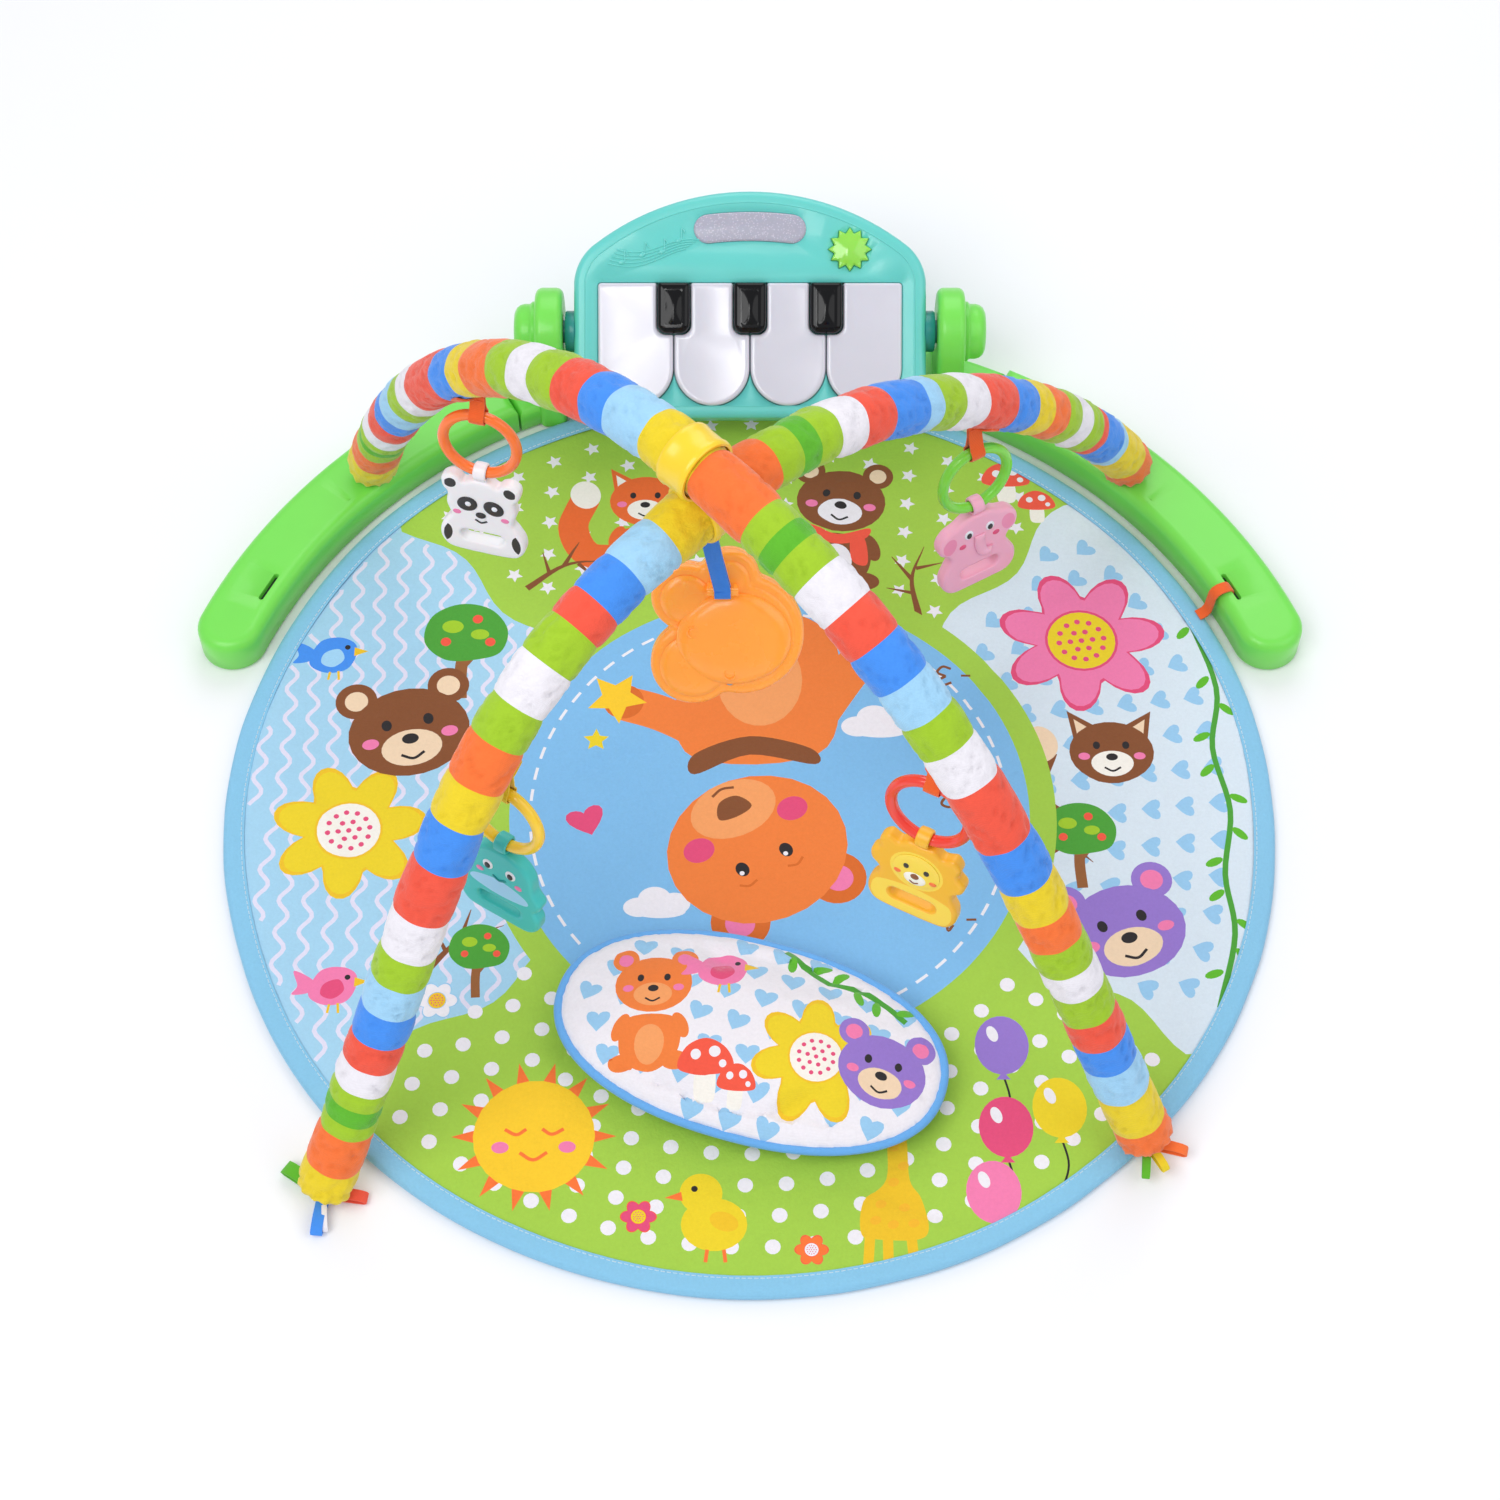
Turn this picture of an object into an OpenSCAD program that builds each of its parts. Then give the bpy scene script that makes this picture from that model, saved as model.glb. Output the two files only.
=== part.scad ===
// Activity play gym: round padded mat, curved floor legs, kick keyboard,
// two crossed soft arches with hanging toys, and a loose tummy pillow.
// The floor is z = 0 and the mat's centre is the origin.

/* [Mat] */
// Radius of the padded mat, without its binding
mat_r = 420; // [410:1:424]
// Thickness of the mat
mat_t = 7; // [5:0.5:8]
// Width of the binding tape that stands out round the mat
bind_w = 10; // [8:1:12]
// Height of the binding tape
bind_t = 8.4; // [7:0.2:8.8]

/* [Legs] */
// Radius of the legs' centre line
leg_mid_r = 467; // [464:1:470]
// Width of a leg
leg_w = 56; // [52:1:58]
// Height of a leg above the floor
leg_top = 35; // [33:1:35]
// Wall thickness of the moulded parts
wall = 2.5; // [2:0.1:3]
// Angle of a leg's free end, from the X axis
leg_end_a = 20; // [18:1:22]
// Angle where a leg meets the centre base
leg_root_a = 62; // [61:1:63]
// Radius at which the arch sockets stand
socket_r = 458; // [456:1:460]
// Angle of the arch sockets, from the X axis
socket_a = 44; // [43:0.5:45]

/* [Keyboard] */
// Width of the keyboard
kb_w = 308; // [306:1:308]
// Height of the keyboard along its face
kb_h = 197; // [195:1:200]
// Tilt of the keyboard's face from level
kb_tilt = 35; // [33:1:37]
// Height of the tilt pivot above the floor
kb_pivot_z = 84; // [84:1:88]
// Distance of the tilt pivot behind the mat's centre
kb_pivot_y = 435; // [434:1:437]
// Pitch of the white keys
key_pitch = 66.5; // [65.5:0.5:66.5]
// Length of a white key
key_len = 106.5; // [104:0.5:107]

/* [Arches] */
// Outside radius of a padded arch tube
tube_r = 21; // [19:0.5:21]
// Radius of the bendy pole inside
pole_r = 7; // [6:0.5:8]

/* [Toys] */
// Radius of a hanging ring, to the middle of its wire
ring_r = 30; // [30:0.5:31]
// Radius of the ring's wire
ring_wire_r = 4.5; // [4:0.1:4.5]
// Forward lean of the hanging toys
lean = 8; // [6:1:10]
// Thickness of a teether
teether_t = 12; // [10:1:12]

/* [Pillow] */
// Length of the tummy pillow
pillow_l = 306; // [290:2:310]
// Width of the tummy pillow
pillow_w = 172; // [160:2:176]
// Thickness of the tummy pillow
pillow_t = 44; // [36:1:48]
// Turn of the pillow on the mat
pillow_turn = -17; // [-25:1:-10]

/* [Hidden] */
$fn = 64;
run_gap = 0.05;
leg_z0 = 2;
leg_h = leg_top - leg_z0;
leg_edge_r = 11;
cover_t = 2.5;
cover_gap = 0.3;
foot_pad_r = 8;
base_edge_r = 8;
base_a0 = leg_root_a + 0.3;
base_wall_a = 0.4;
cover_a0 = base_a0 + 8.2;
tongue_a = 6;
leg_screw_a = [25, 36, 53];
lug_x0 = 164;
lug_t = 24;
lug_r = 38;
lug_edge_r = 6;
hub_r = 10;
hub_disc_r = 18;
hub_side_gap = 1;
cap_r = 24;
cap_t = 19;
base_h = 24;
cap_edge_r = 9;
plug_r = 12;
plug_gap = 0.1;
slot_l = 30;
slot_w = 3.8;
slot_a = leg_end_a + 5.5;
slot_in = 14;

// Keyboard, in its own frame: x across, y up the face, z out of the face
kb_low = -77;
kb_high = kb_low + kb_h;
face_z = 20;
part_z = -4;
back_z = -22;
crown_r = 225;
shoulder_r = 45;
corner_r = 18;
key_count = 4;
key_low = -66.5;
key_high = key_low + key_len;
key_gap = 0.8;
key_round_r = (key_pitch - key_gap) / 2;
key_round_y = key_low + key_round_r;
key_top_z = 23.5;
key_skirt_z = 11;
black_w = 28;
black_l = 44;
black_r = 8;
black_top_z = 29;
rod_r = 1.5;
rod_y = 44;
rod_z = 9;
ear_r = 3.5;
ear_t = 4;
sun_y = 69;
sun_x = 87;
sun_r = 19;
sun_core_r = 15.5;
sun_rays = 12;
window_y = 89;
window_l = 98;
window_w = 25;
window_bend_r = 300;
screw_shank_r = 1.4;
screw_head_r = 3;
boss_r = 4.2;
case_screw_at = [[-140, -60], [140, -60], [-140, 30], [140, 30], [-62, 100], [62, 100]];
case_screw_seat = 8;
plunger_z = 6;
plunger_r = 3;
dome_y = -22;
black_dome_y = 16;
speaker_at = [-88, 62];
speaker_r = 25;
switch_at = [70, 78];
battery_r = 7;
battery_l = 50;

// Arches: each is two cubic curves, from its socket in a leg to its front foot
arch_a = [[[-329, 318, 41], [-322, 310, 81], [-224, 186, 462], [-38, -4, 462]],
          [[-38, -4, 462], [152, -198, 462], [216, -238, 207], [302, -308, 20]]];
arch_b = [[[329, 318, 41], [322, 311, 81], [152, 178, 413], [-31, -3, 413]],
          [[-31, -3, 413], [-198, -170, 413], [-209, -203, 276], [-322, -345, 13]]];
arch_steps = 15;
sleeve_in_r = 8;
foot_plug_r = 12;
foot_plug_t = 2.5;
knot_r = 7;
tag_t = 2.6;
cross_a = [1, 0];
cross_b = [1, 0];

// Hanging toys: arch, [curve, place along it], drop to the ring, turn about the vertical
panda_hang = [arch_a, [0, 0.60], 20, -15];
lion_hang = [arch_a, [1, 0.41], 29, -27];
elephant_hang = [arch_b, [0, 0.57], 29, 30];
whale_hang = [arch_b, [1, 0.43], 42, -32];
strap_w = 12;
strap_t = 1.2;
strap_eye_r = 5.7;
strap_hold = 8;
collar_gap = 0.5;
clip_gap = 1.2;
clip_w = 24;
clip_t = 2.2;
clip_block = [26, 26, 14];
toy_eye_r = 5.3;
toy_eye_wall = 2.5;
toy_eye_w = 10;

// Mirror toy
mirror_eye = [-20, -5, 310];
mirror_plate_a = 55;
mirror_eye_y = 33;
mirror_eye_z = 23;
mirror_bar_r = 3;
mirror_lobes = [[13, -7, 47], [-22, -30, 32], [-27, 22, 26], [5, 37, 22]];
mirror_r = 30;
mirror_half_t = 10;
mirror_screw_at = [[-26, 0], [5, -42.5]];

// ---- helpers ----
function arc_pts(c, r, a0, a1, n) =
    [for (i = [0 : n]) c + r * [cos(a0 + (a1 - a0) * i / n), sin(a0 + (a1 - a0) * i / n)]];
function bezier(p, t) =
    pow(1 - t, 3) * p[0] + 3 * pow(1 - t, 2) * t * p[1] + 3 * (1 - t) * t * t * p[2] + pow(t, 3) * p[3];
function bezier_dir(p, t) =
    let (d = (1 - t) * (1 - t) * (p[1] - p[0]) + 2 * (1 - t) * t * (p[2] - p[1]) + t * t * (p[3] - p[2]))
    d / norm(d);
function unit(v) = v / norm(v);
function on_arch(arch, at) = bezier(arch[at[0]], at[1]);
function arch_dir(arch, at) = bezier_dir(arch[at[0]], at[1]);
// Direction square to the arch that points down as steeply as it can
function arch_under(arch, at) = let (d = arch_dir(arch, at)) unit([0, 0, -1] + d[2] * d);
function arch_stops() = concat([for (i = [0 : arch_steps]) [0, i / arch_steps]],
                               [for (i = [1 : arch_steps]) [1, i / arch_steps]]);
// Ring of points round an arch, in the plane square to it
function ring_at(c, d, r, sides) =
    let (s = unit(cross(d, [d[1], -d[0], 0.3])), u = cross(d, s))
    [for (k = [0 : sides - 1]) c + r * (cos(k * 360 / sides) * s + sin(k * 360 / sides) * u)];

module swept_tube(arch, r_out, r_in, sides) {
    stops = arch_stops();
    n = len(stops);
    shells = r_in > 0 ? [r_out, r_in] : [r_out];
    pts = [for (r = shells) for (at = stops) each ring_at(on_arch(arch, at), arch_dir(arch, at), r, sides)];
    function id(s, i, k) = (s * n + i) * sides + k % sides;
    skin_out = [for (i = [0 : n - 2]) for (k = [0 : sides - 1])
        [id(0, i, k), id(0, i, k + 1), id(0, i + 1, k + 1), id(0, i + 1, k)]];
    skin_in = [for (i = [0 : n - 2]) for (k = [0 : sides - 1])
        [id(1, i, k), id(1, i + 1, k), id(1, i + 1, k + 1), id(1, i, k + 1)]];
    ends_hollow = [for (k = [0 : sides - 1]) each
        [[id(0, 0, k), id(1, 0, k), id(1, 0, k + 1), id(0, 0, k + 1)],
         [id(0, n - 1, k), id(0, n - 1, k + 1), id(1, n - 1, k + 1), id(1, n - 1, k)]]];
    ends_solid = [[for (k = [sides - 1 : -1 : 0]) id(0, 0, k)], [for (k = [0 : sides - 1]) id(0, n - 1, k)]];
    faces = r_in > 0 ? concat(skin_out, skin_in, ends_hollow) : concat(skin_out, ends_solid);
    polyhedron(points = pts, faces = faces);
}

module along(dir) {
    rotate([0, acos(dir[2]), atan2(dir[1], dir[0])]) children();
}

module on_right(flip) {
    mirror([flip, 0, 0]) children();
}

// ---- legs and base ----
module leg_section(w, h, r) {
    translate([-w / 2, 0]) square([w, h - r]);
    translate([-w / 2 + r, 0]) square([w - 2 * r, h]);
    for (s = [-1, 1]) translate([s * (w / 2 - r), h - r]) circle(r);
}

module leg_arc(a0, a1, w, h, r, z0) {
    rotate([0, 0, a0]) rotate_extrude(angle = a1 - a0)
        translate([leg_mid_r, z0]) leg_section(w, h, r);
}

// Plan of a leg: a curved bar with a round free end, set in by d
module leg_plan(root_a, d) {
    half = leg_w / 2 - d;
    polygon(concat(
        arc_pts([0, 0], leg_mid_r + half, leg_end_a, root_a, 24),
        arc_pts([0, 0], leg_mid_r - half, root_a, leg_end_a, 24),
        arc_pts(leg_mid_r * [cos(leg_end_a), sin(leg_end_a)], half, leg_end_a + 180, leg_end_a + 360, 24)));
}

// Leg's form with its top edge rounded in steps of about 15 degrees
module leg_form(root_a, d, h, r, z0) {
    for (e = [0 : 15 : 75]) translate([0, 0, z0])
        linear_extrude(h - r + r * sin(e + 7.5)) leg_plan(root_a, d + r * (1 - cos(e)));
    translate([0, 0, z0]) linear_extrude(h) leg_plan(root_a, d + r);
}

module at_angle(a, r = leg_mid_r) {
    translate([r * cos(a), r * sin(a), 0]) rotate([0, 0, a]) children();
}

module leg() {
    inner_h = leg_h - wall;
    difference() {
        union() {
            difference() {
                leg_form(leg_root_a + 2, 0, leg_h, leg_edge_r, leg_z0);
                leg_form(leg_root_a + 3, wall, inner_h + 1, leg_edge_r - wall, leg_z0 - 1);
                rotate([0, 0, leg_root_a]) cube([2 * leg_mid_r, leg_mid_r / 2, 4 * leg_top]);
            }
            at_angle(socket_a, socket_r) translate([0, 0, leg_z0 + cover_t + cover_gap])
                cylinder(r = plug_r + plug_gap + wall, h = leg_h - cover_t - 1);
            for (a = leg_screw_a) at_angle(a) translate([0, 0, leg_z0 + cover_t + cover_gap])
                cylinder(r = boss_r, h = leg_h - cover_t - 1);
        }
        at_angle(socket_a, socket_r) translate([0, 0, leg_z0])
            cylinder(r = plug_r + plug_gap, h = leg_top);
        for (a = leg_screw_a) at_angle(a) translate([0, 0, leg_z0])
            cylinder(r = screw_shank_r + run_gap, h = 18);
        at_angle(slot_a, leg_mid_r - slot_in) translate([-slot_w / 2, -slot_l / 2, leg_top - wall - 6])
            cube([slot_w, slot_l, 20]);
        at_angle(socket_a - 2.8, socket_r - 11) translate([0, 0, leg_top - 10]) cylinder(r = 1.6, h = 20);
    }
}

module leg_cover() {
    inner_w = leg_w - 2 * (wall + cover_gap);
    difference() {
        union() {
            rotate([0, 0, leg_end_a]) rotate_extrude(angle = leg_root_a - leg_end_a)
                translate([leg_mid_r - inner_w / 2, leg_z0]) square([inner_w, cover_t]);
            at_angle(leg_end_a) translate([0, 0, leg_z0]) cylinder(r = inner_w / 2, h = cover_t);
        }
        for (a = leg_screw_a) at_angle(a) {
            translate([0, 0, leg_z0 - 1]) cylinder(r = screw_shank_r + 0.2, h = 10);
            translate([0, 0, leg_z0 - 1]) cylinder(r = screw_head_r + 0.2, h = 2.2);
        }
    }
}

// Level screw with its head down
module cover_screw() {
    translate([0, 0, leg_z0 - 0.2]) cylinder(r = screw_head_r, h = 1.4);
    translate([0, 0, leg_z0]) cylinder(r = screw_shank_r, h = 12);
}

// Upright block that carries the keyboard's pivot, set in by d on every side
module lug_block(d) {
    hull() for (z = [kb_pivot_z, leg_z0]) translate([lug_x0 + d, kb_pivot_y, z]) rotate([0, 90, 0])
        rounded_disc(lug_r - d, lug_t - 2 * d, lug_edge_r - d, 48);
}

module lug() {
    difference() {
        lug_block(0);
        lug_block(wall);
        translate([0, kb_pivot_y, leg_z0 - 100]) cube([3 * lug_x0, 4 * lug_r, 200], center = true);
    }
    translate([lug_x0 + 1, kb_pivot_y, kb_pivot_z]) rotate([0, 90, 0])
        cylinder(r = hub_r + run_gap + wall, h = lug_t - 2);
}

module rounded_disc(r, t, e, n) {
    rotate_extrude($fn = n) {
        translate([0, e]) square([r, t - 2 * e]);
        square([r - e, t]);
        for (z = [e, t - e]) translate([r - e, z]) circle(e, $fn = 20);
    }
}

module centre_base() {
    color("limegreen") difference() {
        union() {
            difference() {
                leg_arc(base_a0, 180 - base_a0, leg_w, base_h, base_edge_r, leg_z0);
                leg_arc(base_a0 + base_wall_a, 180 - base_a0 - base_wall_a, leg_w - 2 * wall, base_h - wall + 1,
                    base_edge_r - wall, leg_z0 - 1);
            }
            for (f = [0, 1]) on_right(f) {
                lug();
                tongue();
            }
        }
        for (f = [0, 1]) on_right(f) translate([lug_x0 - 1, kb_pivot_y, kb_pivot_z]) rotate([0, 90, 0])
            cylinder(r = hub_r + run_gap, h = lug_t + 2);
    }
}

// Tongue that pushes into the open end of a leg
module tongue() {
    leg_arc(leg_root_a - tongue_a, base_a0 + base_wall_a / 2, leg_w - 2 * wall - 0.8, base_h - 6, 4,
        leg_z0 + cover_t + 0.5);
}

module centre_cover() {
    inner_w = leg_w - 2 * (wall + cover_gap);
    color("limegreen") rotate([0, 0, cover_a0]) rotate_extrude(angle = 180 - 2 * cover_a0)
        translate([leg_mid_r - inner_w / 2, leg_z0]) square([inner_w, cover_t]);
}

module left_leg() {
    color("limegreen") on_right(1) leg();
}

module right_leg() {
    color("limegreen") leg();
}

module left_leg_cover() {
    color("green") on_right(1) leg_cover();
}

module right_leg_cover() {
    color("green") leg_cover();
}

module rubber_feet() {
    color("dimgray") {
        for (f = [0, 1]) on_right(f) for (a = [20, 31, 58, 80]) at_angle(a)
            cylinder(r = foot_pad_r, h = leg_z0);
    }
}

module cover_screws() {
    color("silver") for (f = [0, 1]) on_right(f) for (a = leg_screw_a) at_angle(a) cover_screw();
}

module pivot_cap() {
    translate([lug_x0 + lug_t, kb_pivot_y, kb_pivot_z]) rotate([0, 90, 0]) difference() {
        rotate_extrude() {
            square([cap_r, cap_t - cap_edge_r]);
            square([cap_r - cap_edge_r, cap_t]);
            intersection() {
                translate([cap_r - cap_edge_r, cap_t - cap_edge_r]) circle(cap_edge_r);
                square([cap_r, cap_t]);
            }
        }
        translate([0, 0, -1]) cylinder(r = cap_r - wall, h = cap_t - 8);
    }
}

module left_pivot_cap() {
    color("limegreen") on_right(1) pivot_cap();
}

module right_pivot_cap() {
    color("limegreen") pivot_cap();
}

// ---- mat ----
module mat_pad() {
    color("yellowgreen") cylinder(r = mat_r, h = mat_t, $fn = 128);
}

module mat_binding() {
    bead_r = bind_t / 2;
    color("skyblue") rotate_extrude($fn = 128) {
        translate([mat_r, 0.4]) square([bind_w - bead_r, bind_t]);
        translate([mat_r + bind_w - bead_r, 0.4 + bead_r]) circle(bead_r);
    }
}

// Elastic loop from the mat's edge over the leg and down into its slot
module mat_strap() {
    loop_w = 10;
    loop_t = 1.3;
    reach = leg_mid_r - slot_in - mat_r - bind_w;
    color("darkorange") at_angle(slot_a, mat_r + bind_w + 0.3) {
        translate([0, -loop_w / 2, 5]) cube([loop_t, loop_w, leg_top - 3.4]);
        translate([0, -loop_w / 2, leg_top + 0.3]) cube([reach, loop_w, loop_t]);
        translate([reach - loop_t, -loop_w / 2, leg_top - 8]) cube([loop_t, loop_w, 9]);
    }
}

// ---- arches ----
module sleeve(arch) {
    swept_tube(arch, tube_r, sleeve_in_r, 14);
}

module sleeve_a() {
    color("orangered") sleeve(arch_a);
}

module sleeve_b() {
    color("dodgerblue") sleeve(arch_b);
}

module pole_a() {
    color("white") swept_tube(arch_a, pole_r, 0, 8);
}

module pole_b() {
    color("white") swept_tube(arch_b, pole_r, 0, 8);
}

// Space on the far side of a plane square to curve p at t, moved on by d; way = 1 or -1 picks the side
module past_plane(p, t, way, d) {
    translate(bezier(p, t)) along(way * bezier_dir(p, t)) translate([0, 0, d])
        cylinder(r = tube_r + 1.5, h = 60);
}

// Plugs on the poles' lower ends, cut off square to the arch just below it
module socket_plugs() {
    seat_z = leg_z0 + cover_t + 1;
    color("gold") for (f = [0, 1]) difference() {
        on_right(f) at_angle(socket_a, socket_r) translate([0, 0, seat_z])
            cylinder(r = plug_r, h = leg_top + 12 - seat_z);
        past_plane([arch_b, arch_a][f][0], 0, 1, -run_gap);
    }
}

module foot_plugs() {
    color("gold") for (arch = [arch_a, arch_b]) translate(arch[1][3]) along(bezier_dir(arch[1], 1))
        translate([0, 0, 0.1]) cylinder(r = foot_plug_r, h = foot_plug_t);
}

// Gathered end of a padded tube with its ribbon loops; tags = [turn, length, width] of each
module foot_knot(arch, z0, tags) {
    foot = arch[1][3];
    difference() {
        translate([foot[0], foot[1], z0]) {
            cylinder(r = knot_r, h = 30);
            for (t = tags) rotate([0, 0, t[0]]) translate([0, -t[2] / 2, 0]) cube([t[1], t[2], tag_t]);
        }
        past_plane(arch[1], 1, -1, -foot_plug_t - 0.15);
    }
}

module foot_tags() {
    color("seagreen") {
        foot_knot(arch_b, 0.5, [[142, 44, 12], [-120, 40, 12], [-10, 36, 10]]);
        foot_knot(arch_a, mat_t + 2.2, [[-96, 38, 10], [-14, 40, 10]]);
    }
}

module collar(arch, at, w, t, gap = collar_gap) {
    translate(on_arch(arch, at)) along(arch_dir(arch, at)) difference() {
        translate([0, 0, -w / 2]) cylinder(r = tube_r + gap + t, h = w);
        translate([0, 0, -w]) cylinder(r = tube_r + gap, h = 2 * w);
    }
}

module tube_bore(arch, at, gap) {
    translate(on_arch(arch, at)) along(arch_dir(arch, at))
        translate([0, 0, -2 * tube_r]) cylinder(r = tube_r + gap, h = 4 * tube_r);
}

module crossover_clip() {
    mid = (on_arch(arch_a, cross_a) + on_arch(arch_b, cross_b)) / 2;
    color("gold") difference() {
        union() {
            collar(arch_a, cross_a, clip_w, clip_t, clip_gap);
            collar(arch_b, cross_b, clip_w, clip_t, clip_gap);
            translate(mid) cube(clip_block, center = true);
        }
        tube_bore(arch_a, cross_a, clip_gap - 0.05);
        tube_bore(arch_b, cross_b, clip_gap - 0.05);
    }
}

// ---- hanging toys ----
module hang(h) {
    translate(on_arch(h[0], h[1]) + (tube_r + 1) * arch_under(h[0], h[1]))
        rotate([0, 0, h[3]]) rotate([-lean, 0, 0]) children();
}

module across(r, l) {
    rotate([0, 90, 0]) cylinder(r = r, h = l, center = true);
}

module toy_strap(h) {
    difference() {
        union() {
            intersection() {
                collar(h[0], h[1], strap_w, strap_t);
                hang(h) translate([0, 0, strap_hold - 2 * tube_r]) cube(4 * tube_r, center = true);
            }
            hang(h) {
                translate([-strap_w / 2, -strap_t, -h[2] + strap_eye_r])
                    cube([strap_w, 2 * strap_t, h[2] - strap_eye_r]);
                translate([0, 0, -h[2]]) across(strap_eye_r + strap_t, strap_w);
            }
        }
        hang(h) translate([0, 0, -h[2]]) across(strap_eye_r, 2 * strap_w);
        tube_bore(h[0], h[1], collar_gap);
    }
}

module toy_ring(h) {
    hang(h) translate([0, 0, -h[2] - ring_r]) rotate([90, 0, 0])
        rotate_extrude() translate([ring_r, 0]) circle(ring_wire_r);
}

// Teether, hung from its eye; ears = [x, z, radius] of each
module teether(h, ears) {
    hang(h) translate([0, 0, -h[2] - 2 * ring_r]) {
        difference() {
            union() {
                rotate([90, 0, 0]) linear_extrude(teether_t, center = true) difference() {
                    union() {
                        translate([0, -37]) circle(29);
                        translate([-19, -88]) square([38, 50]);
                        translate([-34, -73]) square([68, 23]);
                        for (s = [-1, 1]) translate([s * 19, -73]) circle(15);
                        for (s = [-1, 1]) translate([s * 24, -50]) circle(10);
                        for (e = ears) translate([e[0], e[1]]) circle(e[2]);
                    }
                    translate([-12, -75.5]) square([24, 13]);
                    for (s = [-1, 1]) translate([s * 12, -69]) circle(6.5);
                }
                across(toy_eye_r + toy_eye_wall, toy_eye_w);
                translate([-toy_eye_w / 2, -5, -14]) cube([toy_eye_w, 10, 10]);
            }
            across(toy_eye_r, 2 * toy_eye_w);
        }
    }
}

module panda_strap() {
    color("darkorange") toy_strap(panda_hang);
}

module lion_strap() {
    color("darkorange") toy_strap(lion_hang);
}

module elephant_strap() {
    color("darkorange") toy_strap(elephant_hang);
}

module whale_strap() {
    color("yellow") toy_strap(whale_hang);
}

module panda_ring() {
    color("darkorange") toy_ring(panda_hang);
}

module lion_ring() {
    color("red") toy_ring(lion_hang);
}

module elephant_ring() {
    color("lawngreen") toy_ring(elephant_hang);
}

module whale_ring() {
    color("gold") toy_ring(whale_hang);
}

module panda_teether() {
    color("white") teether(panda_hang, [[-24, -14, 8], [24, -14, 8]]);
}

module lion_teether() {
    color("gold") teether(lion_hang, [[-25, -15, 9], [25, -15, 9], [-31, -38, 6], [31, -38, 6]]);
}

module elephant_teether() {
    color("pink") teether(elephant_hang, [[-27, -30, 9], [27, -30, 9]]);
}

module whale_teether() {
    color("turquoise") teether(whale_hang, [[-28, -48, 8], [28, -48, 8]]);
}

// ---- mirror toy ----
module mirror_frame() {
    rise = mirror_eye_y * sin(mirror_plate_a) + mirror_eye_z * cos(mirror_plate_a);
    run = mirror_eye_y * cos(mirror_plate_a) - mirror_eye_z * sin(mirror_plate_a);
    translate(mirror_eye - [0, run, rise]) rotate([mirror_plate_a, 0, 0]) children();
}

module mirror_outline(inset) {
    for (l = mirror_lobes) translate([l[0], l[1]]) circle(l[2] - inset);
}

module mirror_strap() {
    top = on_arch(arch_b, cross_b);
    color("royalblue") {
        translate(mirror_eye) difference() {
            across(mirror_bar_r + 0.7 + strap_t, strap_w);
            across(mirror_bar_r + 0.7, 2 * strap_w);
        }
        hull() {
            translate(mirror_eye + [0, 0, mirror_bar_r + 0.8]) cube([strap_w, 2.4, 0.4], center = true);
            translate([top[0], top[1], top[2] - tube_r - 3.6]) cube([strap_w, 2.4, 0.4], center = true);
        }
    }
}

module mirror_back() {
    color("orange") mirror_frame() {
        difference() {
            union() {
                linear_extrude(mirror_half_t - 2) mirror_outline(0);
                linear_extrude(mirror_half_t) mirror_outline(3);
                for (s = [-1, 1]) translate([s * 9, mirror_eye_y, 0]) {
                    translate([-1.5, -3, 0]) cube([3, 6, mirror_eye_z]);
                    translate([0, 0, mirror_eye_z]) across(mirror_bar_r, 3);
                }
                translate([0, mirror_eye_y, mirror_eye_z]) across(mirror_bar_r, 20);
            }
            translate([0, 0, -1]) linear_extrude(mirror_half_t - wall + 1) mirror_outline(wall + 1);
            for (p = mirror_screw_at) translate([p[0], p[1], 0]) {
                cylinder(r = screw_shank_r + 0.2, h = 20);
                translate([0, 0, mirror_half_t - 1.4]) cylinder(r = screw_head_r + 0.3, h = 5);
            }
        }
    }
}

module mirror_bezel() {
    color("gold") mirror_frame() {
        difference() {
            union() {
                translate([0, 0, -mirror_half_t + 2]) linear_extrude(mirror_half_t - 2 - 0.1) mirror_outline(0);
                translate([0, 0, -mirror_half_t]) linear_extrude(mirror_half_t - 0.1) mirror_outline(3);
            }
            translate([0, 0, -mirror_half_t + wall]) linear_extrude(mirror_half_t) mirror_outline(wall + 1);
            translate([mirror_lobes[0][0], mirror_lobes[0][1], -20]) cylinder(r = mirror_r, h = 40);
        }
        for (p = mirror_screw_at) translate([p[0], p[1], -mirror_half_t + wall - 0.1]) difference() {
            cylinder(r = boss_r - 0.7, h = mirror_half_t + 2.5);
            translate([0, 0, 4]) cylinder(r = screw_shank_r + run_gap, h = 20);
        }
    }
}

module mirror_disc() {
    color("lightgray") mirror_frame() translate([mirror_lobes[0][0], mirror_lobes[0][1], -mirror_half_t + 0.8])
        cylinder(r = mirror_r - 0.2, h = 2);
}

module mirror_screws() {
    color("silver") mirror_frame() for (p = mirror_screw_at) translate([p[0], p[1], 0]) {
        translate([0, 0, mirror_half_t - 1.3]) cylinder(r = screw_head_r, h = 1);
        translate([0, 0, 0]) cylinder(r = screw_shank_r, h = mirror_half_t - 1);
    }
}

// ---- keyboard ----
module kb() {
    translate([0, kb_pivot_y, kb_pivot_z]) rotate([kb_tilt, 0, 0]) children();
}

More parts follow.
